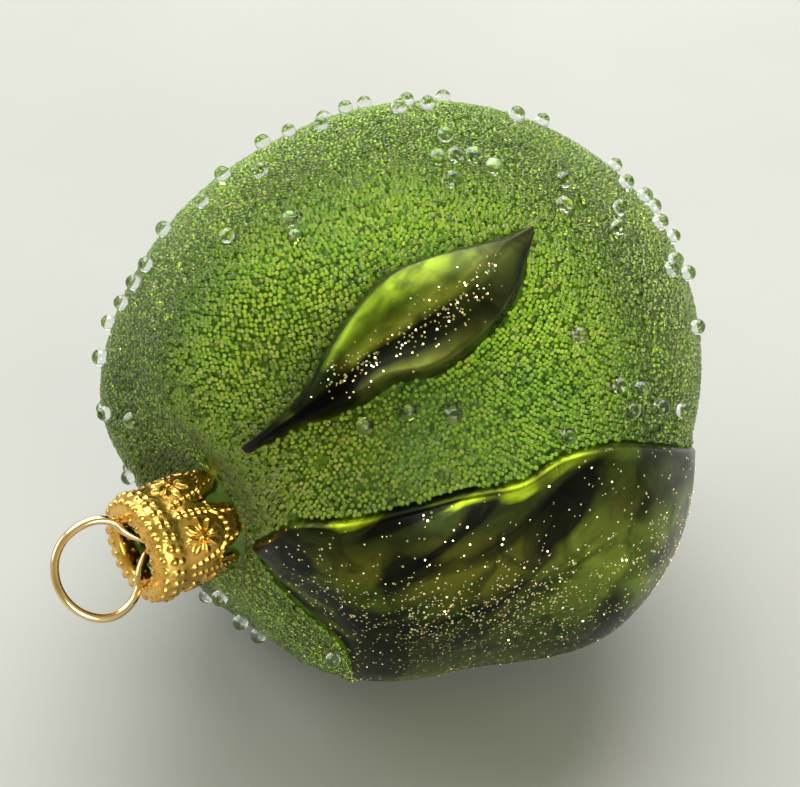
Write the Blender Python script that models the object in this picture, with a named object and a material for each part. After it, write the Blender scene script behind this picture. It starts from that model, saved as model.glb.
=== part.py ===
"""Glass tree ornament blown in the shape of a lime, lying on its side.

Nodes: the hollow glass shell with its two moulded leaves, its drawn-out neck, the
beaded coat round the shell, the stamped crown cap on the neck, and the bent wire
hanger.
Units are metres, +Z is up, the cap points to -X, and the origin is the centre
of the flat spot the ornament rests on.
"""

import math
import random

import bmesh
import bpy
import numpy as np

MM = 0.001

# Body: distance from its centre at each angle from the stem end, in mm.
PROFILE_DEG = (0, 12, 25, 38, 52, 68, 90, 112, 135, 155, 168, 174, 180)
PROFILE_MM = (29.3, 30.0, 32.2, 33.9, 34.1, 33.3, 32.3, 32.5, 33.7, 35.3, 36.5, 37.7, 38.3)
CENTRE_HEIGHT = 31.9
REST_SHIFT = (2.2, 0.8)
STEM_POINT = (-29.0, -2.8, -2.5)
LOBES = 5
LOBE_HEIGHT = 0.55
COAT_THICKNESS = 0.45
GAP = 0.30
GLASS_WALL = 1.0

# View that the front details are read in: pixels of an 800 by 787 frame.
VIEW_AZIMUTH = -37.4
VIEW_ELEVATION = 40.0
VIEW_DISTANCE = 330.0
VIEW_CENTRE = (403.0, 386.0)
PIXELS_PER_MM = 8.5

# Valley and swellings near the neck: pixel x, pixel y, height mm, spread mm.
DENTS = (
    (266, 352, -1.5, 5.5),
    (315, 385, -0.6, 5.0),
    (165, 395, 0.5, 7.0),
    (290, 262, 0.6, 8.0),
    (122, 432, 0.9, 8.0),
    (690, 375, 1.0, 20.0),
    (430, 108, 0.5, 18.0),
    (445, 664, -1.1, 9.0),
)

# Neck, cap and wire. Distances along the cap axis run outwards from the stem point.
CAP_TILT = 3.0
NECK_RADIUS = 4.9
BORE_RADIUS = 3.9
NECK_LENGTH = 8.3
NECK_FOOT = -0.45
CAP_LENGTH = 10.9
CAP_WALL = 0.4
CAP_HOLE = 3.3
CAP_SEGMENTS = 50
SKIRT_END = -0.4
PETALS = 5
FIRST_SLOT = 31.5
SLOT_WIDTH = 2.2
SLOT_DEPTH = 4.6
WIRE_RADIUS = 0.5
LOOP_RADIUS = 5.3
LOOP_OFFSET = 4.4
LOOP_DROP = 0.3

# Small leaf: margins from stalk to tip, read in the view.
SMALL_UPPER = (
    (238, 447), (258, 431), (286, 404), (300, 383), (331, 332),
    (360, 294), (392, 266), (415, 257), (461, 244), (533, 224),
)
SMALL_LOWER = (
    (246, 456), (268, 445), (293, 431), (335, 419), (365, 406), (390, 389),
    (440, 376), (478, 351), (504, 324), (522, 294), (534, 236),
)

# Leaf relief: edge height and crest height in mm, side of the crest, share of the early
# swell, start and end of the rise, start and end of the fall, roundness below the crest,
# and how far the lower edge sinks.
SMALL_FORM = (1.5, 3.6, 0.10, 0.0, 0.0, 0.3, 0.68, 0.98, 0.75, 0.0)
LARGE_FORM = (1.1, 6.0, 0.0, 0.1, 0.48, 0.62, 0.58, 0.95, 1.6, 0.8)

# Large leaf: front margins in the view, then hidden points in mm from the centre.
LARGE_UPPER = (
    (249, 546), (268, 536), (292, 523), (349, 520), (408, 507), (464, 492),
    (527, 479), (561, 457), (605, 443), (661, 443),
)
LARGE_UPPER_BACK = ((24.5, -25.0, -5.0), (27.4, -18.5, -9.5))
LARGE_LOWER = ((253, 557), (261, 570), (292, 607), (333, 645))
LARGE_LOWER_BACK = (
    (-15.8, -14.4, -25.1), (-9.0, -14.4, -27.0), (0.5, -15.0, -27.9),
    (10.5, -15.0, -26.6), (19.5, -14.5, -21.5), (26.4, -15.8, -12.0),
)

# Coarse relief of the beaded coat, and its larger round beads.
COAT_COLUMNS = 42
COAT_ROWS = 32
INNER_ROWS = 17
RELIEF = 0.2
BEAD_RADIUS = 1.0
BEAD_LIFT = 0.8
BEAD_ROOT = 0.2
BEAD_SPACING = 2.05
FRONT_BEADS = (
    (98, 409), (107, 358), (116, 324), (123, 303), (135, 283), (147, 265),
    (165, 230), (203, 202), (224, 176), (263, 143), (290, 134), (322, 112),
    (345, 106), (364, 100), (407, 100), (427, 109), (443, 97), (519, 109),
    (541, 123), (615, 165), (624, 184), (638, 201), (655, 205), (660, 222),
    (672, 237), (680, 258), (688, 273), (666, 271), (701, 326), (120, 480),
    (216, 588), (213, 606), (238, 626), (258, 636), (333, 660), (361, 670),
    (229, 237), (292, 222), (299, 240), (261, 172), (322, 128), (399, 112),
    (445, 138), (438, 159), (455, 157), (473, 157), (452, 181), (493, 168),
    (563, 182), (563, 206), (617, 210), (616, 229), (578, 336), (617, 386),
    (637, 389), (628, 410), (655, 407), (675, 410), (365, 426), (408, 412),
    (453, 415), (120, 412), (137, 420), (567, 436),
)
BACK_BEADS = 34
BEAD_SEED = 12


def clear_scene():
    for item in list(bpy.data.objects):
        bpy.data.objects.remove(item, do_unlink=True)


def unit(v):
    v = np.asarray(v, float)
    return v / np.linalg.norm(v, axis=-1, keepdims=True)


AZ = math.radians(VIEW_AZIMUTH)
EL = math.radians(VIEW_ELEVATION)
VIEW_RIGHT = np.array((math.cos(AZ), math.sin(AZ), 0.0))
VIEW_BACK = np.array((math.sin(AZ) * math.cos(EL), -math.cos(AZ) * math.cos(EL), math.sin(EL)))
VIEW_UP = np.cross(VIEW_BACK, VIEW_RIGHT)

STEM = np.array(STEM_POINT)
STEM_DIR = unit(STEM)
SIDE_A = unit(np.cross(STEM_DIR, (0.0, 0.0, 1.0)))
SIDE_B = np.cross(STEM_DIR, SIDE_A)
TILT = math.radians(CAP_TILT)
CAP_DIR = np.array((-math.cos(TILT), 0.0, math.sin(TILT)))
CAP_SIDE = np.array((0.0, 1.0, 0.0))
CAP_UP = np.cross(CAP_DIR, CAP_SIDE)


def smooth(value, low, high):
    t = np.clip((value - low) / (high - low), 0.0, 1.0)
    return t * t * (3.0 - 2.0 * t)


def catmull(xs, ys, at):
    """Smooth curve through the points (xs, ys)."""
    xs = np.asarray(xs, float)
    ys = np.asarray(ys, float)
    slope = np.gradient(ys, xs)
    i = np.clip(np.searchsorted(xs, at, side="right") - 1, 0, len(xs) - 2)
    h = xs[i + 1] - xs[i]
    t = (at - xs[i]) / h
    a = (1 + 2 * t) * (1 - t) ** 2
    b = t * (1 - t) ** 2 * h
    c = t * t * (3 - 2 * t)
    d = t * t * (t - 1) * h
    return a * ys[i] + b * slope[i] + c * ys[i + 1] + d * slope[i + 1]


def bare_radius(d):
    """Radius of the plain body towards each unit direction, in mm."""
    along = np.clip(d @ STEM_DIR, -1.0, 1.0)
    theta = np.degrees(np.arccos(along))
    phi = np.arctan2(d @ SIDE_B, d @ SIDE_A)
    radius = catmull(PROFILE_DEG, PROFILE_MM, theta)
    lobe = np.exp(-(((theta - 42.0) / 20.0) ** 2))
    radius = radius + LOBE_HEIGHT * lobe * np.cos(LOBES * phi + 0.9)
    radius = radius + 0.25 * np.sin(3 * phi + 1.0) * np.sin(np.radians(theta)) ** 2
    seat = 1.0 - smooth(theta, 13.0, 27.0)
    plane = float(STEM @ CAP_DIR) / np.maximum(d @ CAP_DIR, 0.3)
    return radius * (1.0 - seat) + plane * seat


def on_surface(pixel, lift=0.0):
    """Direction in which the view ray of a pixel meets the body, or passes nearest it."""
    eye = VIEW_BACK * VIEW_DISTANCE
    across = (pixel[0] - VIEW_CENTRE[0]) / PIXELS_PER_MM
    up = (VIEW_CENTRE[1] - pixel[1]) / PIXELS_PER_MM
    ray = unit(VIEW_RIGHT * across + VIEW_UP * up - eye)
    nearest = eye - ray * float(eye @ ray)
    miss = float(nearest @ nearest)
    here = unit(nearest)
    for _ in range(12):
        radius = float(bare_radius(here[None])[0]) + lift
        if radius * radius <= miss:
            here = unit(nearest)
            continue
        here = unit(nearest - ray * math.sqrt(radius * radius - miss))
    return here


DENT_DIRS = [(on_surface((x, y)), h, s) for x, y, h, s in DENTS]


def body_radius(d):
    radius = bare_radius(d)
    for where, height, spread in DENT_DIRS:
        away = np.degrees(np.arccos(np.clip(d @ where, -1.0, 1.0))) * math.pi / 180.0 * 33.0
        radius = radius + height * np.exp(-((away / spread) ** 2))
    return radius


def layer(d, lift):
    """Points of the surface that runs lift mm outside the coat's mean surface."""
    points = d * (body_radius(d) + lift)[:, None]
    floor = -CENTRE_HEIGHT - min(lift, 0.0)
    low = points[:, 2] < floor
    if lift <= 0.0:
        scale = np.where(low, floor / np.minimum(points[:, 2], -1e-6), 1.0)
        points = points * scale[:, None]
    return points


def world(points):
    return (np.asarray(points, float) + (*REST_SHIFT, CENTRE_HEIGHT)) * MM


def mesh_object(name, points, faces):
    mesh = bpy.data.meshes.new(name)
    mesh.from_pydata([tuple(p) for p in points], [], [tuple(f) for f in faces])
    work = bmesh.new()
    work.from_mesh(mesh)
    bmesh.ops.recalc_face_normals(work, faces=work.faces)
    if work.calc_volume(signed=True) < 0:
        bmesh.ops.reverse_faces(work, faces=work.faces)
    work.to_mesh(mesh)
    work.free()
    made = bpy.data.objects.new(name, mesh)
    bpy.context.scene.collection.objects.link(made)
    return made


def helper(item):
    item.hide_render = True
    item.display_type = "WIRE"
    return item


def combine(target, other, operation):
    modifier = target.modifiers.new(other.name, "BOOLEAN")
    modifier.operation = operation
    modifier.solver = "EXACT"
    modifier.object = other


def skin_directions(rows, columns):
    polar = np.linspace(0.0, math.pi, rows + 1)[1:-1]
    turn = np.arange(columns) * 2.0 * math.pi / columns
    rings = []
    for angle in polar:
        ring = math.sin(angle) * (
            np.cos(turn)[:, None] * SIDE_A + np.sin(turn)[:, None] * SIDE_B
        )
        rings.append(ring + math.cos(angle) * STEM_DIR)
    return np.concatenate([STEM_DIR[None], np.concatenate(rings), -STEM_DIR[None]])


def skin_faces(rows, columns):
    faces = []
    last = 1 + (rows - 1) * columns
    for j in range(columns):
        k = (j + 1) % columns
        faces.append((0, 1 + j, 1 + k))
        for i in range(rows - 2):
            a = 1 + i * columns
            b = a + columns
            if (i + j) % 2 == 0:
                faces += [(a + j, b + j, a + k), (a + k, b + j, b + k)]
            else:
                faces += [(a + j, b + j, b + k), (a + j, b + k, a + k)]
        a = 1 + (rows - 2) * columns
        faces.append((a + j, last, a + k))
    return faces


def closed_skin(name, rows, columns, lift):
    d = skin_directions(rows, columns)
    return mesh_object(name, world(layer(d, lift)), skin_faces(rows, columns))


def relief_skin(name, rows, columns):
    """Outer face of the coat: every other point is raised, except at the rest spot."""
    d = skin_directions(rows, columns)
    points = d * body_radius(d)[:, None]
    index = np.arange(len(d) - 2)
    bump = np.where((index // columns + index % columns) % 2 == 0, 1.0, -1.0)
    bump = np.concatenate([[0.0], bump, [0.0]])
    polar = np.arccos(np.clip(d @ STEM_DIR, -1.0, 1.0))
    bump = bump * smooth(np.sin(polar), 0.25, 0.5)
    under = np.degrees(np.arccos(np.clip(-d[:, 2], -1.0, 1.0)))
    bump = bump * smooth(under, 16.0, 26.0)
    points = points + d * ((bump + 0.4 * np.abs(bump)) * RELIEF)[:, None]
    return mesh_object(name, world(points), skin_faces(rows, columns))


def resample(points, count):
    """Evenly spaced points on a smooth curve through the given ones."""
    points = np.asarray(points, float)
    steps = np.concatenate([[0.0], np.cumsum(np.linalg.norm(np.diff(points, axis=0), axis=1))])
    dense = np.linspace(0.0, steps[-1], 400)
    curve = np.stack([catmull(steps, points[:, i], dense) for i in range(3)], axis=1)
    run = np.concatenate([[0.0], np.cumsum(np.linalg.norm(np.diff(curve, axis=0), axis=1))])
    at = np.linspace(0.0, run[-1], count)
    return np.stack([np.interp(at, run, curve[:, i]) for i in range(3)], axis=1)


def margins(upper, upper_back, lower, lower_back, count):
    a = [on_surface(p, 1.0) for p in upper] + [unit(p) for p in upper_back]
    b = [on_surface(p, 1.0) for p in lower] + [unit(p) for p in lower_back]
    return unit(resample(a, count)), unit(resample(b, count))


def leaf_directions(upper, lower, across, grow):
    """Grid of directions from the lower to the upper margin, grown by grow mm."""
    v = np.linspace(0.0, 1.0, across)
    grid = lower[:, None] * (1.0 - v)[None, :, None] + upper[:, None] * v[None, :, None]
    grid = unit(grid)
    if grow == 0.0:
        return grid
    flat = grid.copy()
    step = grow / 33.0
    away = unit(upper - lower)
    for row in range(len(upper)):
        half = np.linspace(-1.0, 1.0, across)[:, None]
        flat[row] = grid[row] + away[row] * half * step
    ahead = unit(flat[-1].mean(axis=0) - flat[-2].mean(axis=0))
    behind = unit(flat[0].mean(axis=0) - flat[1].mean(axis=0))
    flat[-1] = flat[-1] + ahead * step
    flat[0] = flat[0] + behind * step
    return unit(flat)


def leaf_height(rows, across, form):
    """Height of a leaf over the coat: a raised margin and a swell along its middle."""
    edge, crest, side, early, rise_a, rise_b, fall_a, fall_b, power, sunk = form
    s = np.linspace(0.0, 1.0, rows)[:, None]
    v = np.linspace(-1.0, 1.0, across)[None, :]
    u = np.where(v > side, (v - side) / (1.0 - side), (v - side) / (1.0 + side))
    swell = early * smooth(s, 0.05, 0.35) + (1.0 - early) * smooth(s, rise_a, rise_b)
    swell = swell * (1.0 - smooth(s, fall_a, fall_b))
    swell = swell * np.maximum(1.0 - u * u, 0.0) ** np.where(v > side, 0.75, power)
    low_side = 1.0 - sunk * smooth(-v, -0.2, 0.8)
    return edge * smooth(s, -0.25, 0.12) * low_side + (crest - edge) * swell


def leaf_solid(name, directions, top, bottom):
    rows, across = directions.shape[:2]
    flat = directions.reshape(-1, 3)
    mean = body_radius(flat)
    outer = flat * (mean + top.reshape(-1))[:, None]
    inner = flat * (mean + bottom)[:, None]
    count = rows * across
    faces = []
    for i in range(rows - 1):
        for j in range(across - 1):
            a = i * across + j
            faces.append((a, a + 1, a + across + 1, a + across))
            b = a + count
            faces.append((b, b + across, b + across + 1, b + 1))
    ring = [j for j in range(across)]
    ring += [i * across + across - 1 for i in range(1, rows)]
    ring += [(rows - 1) * across + j for j in range(across - 2, -1, -1)]
    ring += [i * across for i in range(rows - 2, 0, -1)]
    for k, a in enumerate(ring):
        b = ring[(k + 1) % len(ring)]
        faces.append((a, a + count, b + count, b))
    return mesh_object(name, world(np.concatenate([outer, inner])), faces)


def cap_point(along, radius, turn):
    """Point at a distance along the cap axis, a radius and an angle round it."""
    ring = np.cos(turn)[..., None] * CAP_SIDE + np.sin(turn)[..., None] * CAP_UP
    return STEM + CAP_DIR * np.asarray(along)[..., None] + ring * np.asarray(radius)[..., None]


def tube(name, low, high, radius, segments):
    turn = np.arange(segments) * 2.0 * math.pi / segments
    points = np.concatenate([
        cap_point(np.full(segments, low), np.full(segments, radius), turn),
        cap_point(np.full(segments, high), np.full(segments, radius), turn),
    ])
    faces = [tuple(range(segments)), tuple(range(2 * segments - 1, segments - 1, -1))]
    for j in range(segments):
        k = (j + 1) % segments
        faces.append((j, j + segments, k + segments, k))
    return mesh_object(name, world(points), faces)


def make_neck():
    """Open glass tube under the cap, its foot just clear of the shell it is drawn from."""
    rim = 0.3
    outline = (
        (NECK_FOOT, NECK_RADIUS), (NECK_LENGTH - rim, NECK_RADIUS),
        (NECK_LENGTH, NECK_RADIUS - rim), (NECK_LENGTH, BORE_RADIUS + rim),
        (NECK_LENGTH - rim, BORE_RADIUS), (NECK_FOOT, BORE_RADIUS),
    )
    segments = 32
    turn = np.arange(segments) * 2.0 * math.pi / segments
    rings = [
        cap_point(np.full(segments, along), np.full(segments, radius), turn)
        for along, radius in outline
    ]
    faces = []
    for i in range(len(outline)):
        a = i * segments
        b = ((i + 1) % len(outline)) * segments
        for j in range(segments):
            k = (j + 1) % segments
            faces.append((a + j, b + j, b + k, a + k))
    return mesh_object("glass_neck", world(np.concatenate(rings)), faces)


def cap_relief(along, turn):
    """Embossed pattern: dots round the rim, and an eight-rayed star on each petal."""
    rim = np.exp(-(((along - CAP_LENGTH + 1.3) / 0.55) ** 2))
    dots = 0.22 * rim * np.maximum(np.cos(16 * turn), 0.0)
    beads = np.exp(-(((along - CAP_LENGTH + 3.6) / 0.5) ** 2))
    dots = dots + 0.14 * beads * np.maximum(np.cos(16 * turn + math.pi), 0.0)
    local = ((turn - math.radians(FIRST_SLOT)) * PETALS / (2.0 * math.pi)) % 1.0 - 0.5
    x = local * 2.0 * math.pi / PETALS * 6.1
    y = along - (CAP_LENGTH - 6.6)
    reach = np.hypot(x, y)
    star = np.cos(4.0 * np.arctan2(y, x)) ** 2
    star = star * np.exp(-((reach / 2.2) ** 4)) * smooth(reach, 0.2, 0.9)
    return dots + 0.25 * star + 0.28 * np.exp(-((reach / 0.7) ** 2))


def make_cap():
    turn = np.arange(CAP_SEGMENTS) * 2.0 * math.pi / CAP_SEGMENTS
    top = CAP_LENGTH
    outside = [
        (top - 0.75, CAP_HOLE, 0), (top - 0.25, CAP_HOLE + 0.25, 0), (top - 0.05, 4.3, 0),
        (top - 0.02, 5.0, 1), (top - 0.15, 5.6, 0), (top - 0.6, 6.15, 1),
        (top - 1.3, 6.4, 1), (top - 2.3, 6.35, 1), (top - 3.6, 6.2, 1), (top - 4.6, 6.15, 1),
        (top - 5.6, 6.15, 1), (top - 6.6, 6.1, 1), (top - 7.6, 6.05, 1),
        (top - 8.8, 6.0, 1), (top - 10.0, 5.95, 0), (SKIRT_END, 5.9, 0),
    ]
    inside = [
        (SKIRT_END, 5.9 - CAP_WALL, 0), (top - 7.6, 6.05 - CAP_WALL, 0),
        (top - 3.0, 6.2 - CAP_WALL, 0), (top - 1.2, 6.35 - CAP_WALL, 0),
        (top - 0.55, 5.7 - CAP_WALL, 0), (top - 0.75, CAP_HOLE + 0.45, 0),
    ]
    rings = []
    for index, (along, radius, marked) in enumerate(outside + inside):
        ring_along = np.full(CAP_SEGMENTS, along)
        ring_radius = np.full(CAP_SEGMENTS, radius)
        if marked:
            ring_radius = ring_radius + cap_relief(ring_along, turn)
        if along == SKIRT_END:
            local = (turn - math.radians(FIRST_SLOT)) * PETALS / 2.0
            ring_along = ring_along + 1.5 * (1.0 - np.abs(np.sin(local)))
        if index == 3:
            ring_along = ring_along + 0.16 * np.maximum(np.cos(16 * turn), 0.0)
        rings.append(cap_point(ring_along, ring_radius, turn))
    count = len(rings)
    faces = []
    for i in range(count):
        a = i * CAP_SEGMENTS
        b = ((i + 1) % count) * CAP_SEGMENTS
        for j in range(CAP_SEGMENTS):
            k = (j + 1) % CAP_SEGMENTS
            faces.append((a + j, b + j, b + k, a + k))
    cap = mesh_object("cap", world(np.concatenate(rings)), faces)
    for petal in range(PETALS):
        angle = math.radians(FIRST_SLOT) + petal * 2.0 * math.pi / PETALS
        out = math.cos(angle) * CAP_SIDE + math.sin(angle) * CAP_UP
        flank = np.cross(CAP_DIR, out)
        foot = STEM + out * 4.9 - CAP_DIR * 1.0
        head = STEM + out * 4.9 + CAP_DIR * (SLOT_DEPTH + 0.35)
        wedge = []
        for reach in (0.0, 3.2):
            wedge.append(foot + flank * SLOT_WIDTH * 0.62 + out * reach)
            wedge.append(foot - flank * SLOT_WIDTH * 0.62 + out * reach)
            wedge.append(head - flank * 0.12 + out * reach)
            wedge.append(head + flank * 0.12 + out * reach)
        faces = [(0, 1, 2, 3), (7, 6, 5, 4), (0, 4, 5, 1), (1, 5, 6, 2), (2, 6, 7, 3), (3, 7, 4, 0)]
        slot = helper(mesh_object(f"slot_{petal}", world(wedge), faces))
        combine(cap, slot, "DIFFERENCE")
    return cap


def wire_path():
    """Loop in the cap's axis plane, its ends crossing in the hole and splaying in the neck."""
    points = []
    plane = unit(0.687 * CAP_UP + 0.727 * CAP_SIDE * -1.0)
    plane = unit(plane - CAP_DIR * float(plane @ CAP_DIR))
    normal = np.cross(CAP_DIR, plane)
    centre = CAP_LENGTH + LOOP_OFFSET
    legs = (
        (0.2, 2.7), (-0.6, 1.75), (-1.5, 0.95), (-2.6, 0.2), (-4.2, -1.0), (-5.8, -2.1),
        (-7.3, -2.95), (-9.0, -3.2), (-11.6, -3.2),
    )
    for along, across in reversed(legs):
        apart = 0.66 * float(1.0 - smooth(-along, 3.5, 7.5))
        points.append((CAP_LENGTH + along, -across, apart))
    for degrees in range(-132, 133, 12):
        angle = math.radians(degrees)
        shift = 0.66 * (1.0 - smooth(degrees, -132.0, -30.0))
        shift = shift - 0.66 * smooth(degrees, 30.0, 132.0)
        sag = LOOP_DROP * smooth(math.cos(angle), -0.7, 0.3)
        points.append((
            centre + LOOP_RADIUS * math.cos(angle),
            LOOP_RADIUS * math.sin(angle) + sag,
            float(shift),
        ))
    for along, across in legs:
        apart = 0.66 * float(1.0 - smooth(-along, 3.5, 7.5))
        points.append((CAP_LENGTH + along, across, -apart))
    path = []
    for along, across, off in points:
        path.append(STEM + CAP_DIR * along + plane * across + normal * off)
    return np.array(path)


def make_wire():
    path = resample(wire_path(), 64)
    sides = 8
    ahead = unit(np.gradient(path, axis=0))
    side = unit(np.cross(ahead[0], (0.3, 0.5, 0.8)))
    points = []
    for here, way in zip(path, ahead):
        side = unit(side - way * float(side @ way))
        third = np.cross(way, side)
        for k in range(sides):
            a = k * 2.0 * math.pi / sides
            points.append(here + (side * math.cos(a) + third * math.sin(a)) * WIRE_RADIUS)
    faces = [tuple(range(sides)), tuple(range(len(points) - 1, len(points) - sides - 1, -1))]
    for i in range(len(path) - 1):
        for j in range(sides):
            k = (j + 1) % sides
            a = i * sides
            faces.append((a + j, a + sides + j, a + sides + k, a + k))
    return mesh_object("hanger_ring", world(points), faces)


def inside_outline(points, directions):
    """Whether each direction lies within a leaf's grid, grown a little."""
    upper = directions[:, -1]
    lower = directions[:, 0]
    outline = np.concatenate([lower, upper[::-1]])
    middle = unit(directions.reshape(-1, 3).mean(axis=0))
    first = unit(np.cross(middle, (0.1, 0.2, 0.9)))
    second = np.cross(middle, first)

    def flat(d):
        away = np.arccos(np.clip(d @ middle, -1.0, 1.0))
        turn = np.arctan2(d @ second, d @ first)
        return np.stack([away * np.cos(turn), away * np.sin(turn)], axis=-1)

    ring = flat(outline)
    spots = flat(points)
    after = np.roll(ring, -1, axis=0)
    hit = np.zeros(len(spots), bool)
    for p, q in zip(ring, after):
        spans = (p[1] > spots[:, 1]) != (q[1] > spots[:, 1])
        rise = q[1] - p[1] if abs(q[1] - p[1]) > 1e-12 else 1e-12
        cross = p[0] + (spots[:, 1] - p[1]) * (q[0] - p[0]) / rise
        hit ^= spans & (spots[:, 0] < cross)
    gap = np.full(len(spots), 9.0)
    for p, q in zip(ring, after):
        edge = q - p
        t = np.clip(((spots - p) @ edge) / max(float(edge @ edge), 1e-12), 0.0, 1.0)
        gap = np.minimum(gap, np.linalg.norm(spots - p - t[:, None] * edge, axis=1))
    return hit, gap * 33.0


def bead_directions(leaves):
    chosen = []
    source = random.Random(BEAD_SEED)
    front = [on_surface(p, 0.6) for p in FRONT_BEADS]
    for index, d in enumerate(front):
        if float(d @ VIEW_BACK) < 0.2:
            front[index] = unit(d + VIEW_BACK * (index * 7 % 11 - 6) * 0.03)
    tries = []
    for _ in range(4000):
        z = source.uniform(-1.0, 1.0)
        a = source.uniform(0.0, 2.0 * math.pi)
        flat = math.sqrt(1.0 - z * z)
        tries.append(np.array((flat * math.cos(a), flat * math.sin(a), z)))
    hidden = [d for d in tries if float(d @ VIEW_BACK) < -0.12]
    for d in front + hidden:
        if len(chosen) >= len(front) + BACK_BEADS:
            break
        if float(-d[2]) > math.cos(math.radians(24.0)):
            continue
        if float(d @ STEM_DIR) > math.cos(math.radians(22.0)):
            continue
        clear = True
        for leaf in leaves:
            hit, gap = inside_outline(d[None], leaf)
            if hit[0] or gap[0] < BEAD_RADIUS + 0.45:
                clear = False
        for other in chosen:
            if np.linalg.norm(d - other) * 33.5 < BEAD_SPACING:
                clear = False
        if clear:
            chosen.append(d)
    return chosen


def make_beads(directions):
    points = []
    faces = []
    around = 6
    levels = (0.5, -0.35)
    for d in directions:
        base = len(points)
        radius = float(body_radius(d[None])[0])
        centre = d * (radius + BEAD_LIFT)
        first = unit(np.cross(d, (0.21, 0.43, 0.88)))
        second = np.cross(d, first)
        points.append(centre + d * BEAD_RADIUS)
        for level, height in enumerate(levels):
            reach = math.sqrt(1.0 - height * height) * BEAD_RADIUS
            for k in range(around):
                a = (k + 0.5 * (level % 2)) * 2.0 * math.pi / around
                ring = first * math.cos(a) + second * math.sin(a)
                points.append(centre + d * height * BEAD_RADIUS + ring * reach)
        points.append(centre - d * (BEAD_RADIUS + BEAD_ROOT))
        last = base + 1 + len(levels) * around
        for k in range(around):
            n = (k + 1) % around
            faces.append((base, base + 1 + k, base + 1 + n))
            faces.append((last, last - around + n, last - around + k))
            for level in range(len(levels) - 1):
                a = base + 1 + level * around
                b = a + around
                if level % 2 == 0:
                    faces.append((a + k, b + k, a + n))
                    faces.append((b + k, b + n, a + n))
                else:
                    faces.append((a + k, b + k, b + n))
                    faces.append((a + k, b + n, a + n))
    return mesh_object("bead_roots", world(points), faces)


def material(name, colour, roughness, metallic):
    made = bpy.data.materials.new(name)
    made.use_nodes = True
    shader = made.node_tree.nodes["Principled BSDF"]
    shader.inputs["Base Color"].default_value = (*colour, 1.0)
    shader.inputs["Roughness"].default_value = roughness
    shader.inputs["Metallic"].default_value = metallic
    made.diffuse_color = (*colour, 1.0)
    return made


def finish(item, paint, angle):
    item.data.materials.append(paint)
    bpy.ops.object.select_all(action="DESELECT")
    item.select_set(True)
    bpy.context.view_layer.objects.active = item
    bpy.ops.object.shade_smooth_by_angle(angle=math.radians(angle))


clear_scene()

# Leaf grids: small leaf 26 by 9 points, large leaf 30 by 15 points.
small_upper, small_lower = margins(SMALL_UPPER, (), SMALL_LOWER, (), 26)
large_upper, large_lower = margins(LARGE_UPPER, LARGE_UPPER_BACK, LARGE_LOWER, LARGE_LOWER_BACK, 30)
small_grid = leaf_directions(small_upper, small_lower, 9, 0.0)
large_grid = leaf_directions(large_upper, large_lower, 15, 0.0)
small_top = leaf_height(26, 9, SMALL_FORM)
large_top = leaf_height(30, 15, LARGE_FORM)

# Glass: body, both leaves and neck as one skin, then the hollow inside all of them.
glass_lift = -COAT_THICKNESS - GAP
glass = closed_skin("glass_body", INNER_ROWS, COAT_COLUMNS, glass_lift)
small_pad = helper(leaf_solid("small_leaf", small_grid, small_top, glass_lift - 0.5))
large_pad = helper(leaf_solid("large_leaf", large_grid, large_top, glass_lift - 0.5))
for piece in (small_pad, large_pad):
    combine(glass, piece, "UNION")
hollow_lift = glass_lift - GLASS_WALL
hollow = helper(closed_skin("hollow", 16, 32, hollow_lift))
small_part = slice(9, 23)
large_part = slice(3, 27)
small_inner = leaf_directions(small_upper[small_part], small_lower[small_part], 7, -GLASS_WALL)
large_inner = leaf_directions(large_upper[large_part], large_lower[large_part], 11, -GLASS_WALL)
small_rise = leaf_height(26, 7, SMALL_FORM)[small_part]
large_rise = leaf_height(30, 11, LARGE_FORM)[large_part]
small_room = helper(leaf_solid("small_room", small_inner, small_rise - GLASS_WALL, hollow_lift - 0.6))
large_room = helper(leaf_solid("large_room", large_inner, large_rise - GLASS_WALL, hollow_lift - 0.6))
bore = helper(tube("bore", -6.0, NECK_LENGTH + 2.0, BORE_RADIUS, 32))
for piece in (small_room, large_room, bore):
    combine(hollow, piece, "UNION")
combine(glass, hollow, "DIFFERENCE")

# Coat: a pebbled skin round the glass, open at the leaves and the neck, flat below.
coat = relief_skin("bead_coat", COAT_ROWS, COAT_COLUMNS)
inside = helper(closed_skin("coat_inside", INNER_ROWS, COAT_COLUMNS, -COAT_THICKNESS))
combine(coat, inside, "DIFFERENCE")
small_cut = leaf_directions(small_upper, small_lower, 5, GAP)
large_cut = leaf_directions(large_upper, large_lower, 9, GAP)
small_cutter = helper(leaf_solid("small_cutter", small_cut, np.full(small_cut.shape[:2], 2.5), -3.0))
large_cutter = helper(leaf_solid("large_cutter", large_cut, np.full(large_cut.shape[:2], 2.5), -3.0))
neck_cutter = helper(tube("neck_cutter", -4.0, 8.0, 6.9, 40))
for piece in (small_cutter, large_cutter, neck_cutter):
    combine(coat, piece, "DIFFERENCE")
slab = np.array([
    (x, y, z) for z in (-CENTRE_HEIGHT - 6.0, -CENTRE_HEIGHT) for y in (-20, 20) for x in (-20, 20)
], float)
slab_faces = [(0, 2, 3, 1), (4, 5, 7, 6), (0, 1, 5, 4), (2, 6, 7, 3), (0, 4, 6, 2), (1, 3, 7, 5)]
floor_cutter = helper(mesh_object("floor_cutter", world(slab), slab_faces))
combine(coat, floor_cutter, "DIFFERENCE")
beads = helper(make_beads(bead_directions((small_grid, large_grid))))
combine(coat, beads, "UNION")

glass_neck = make_neck()
cap = make_cap()
ring = make_wire()

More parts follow.
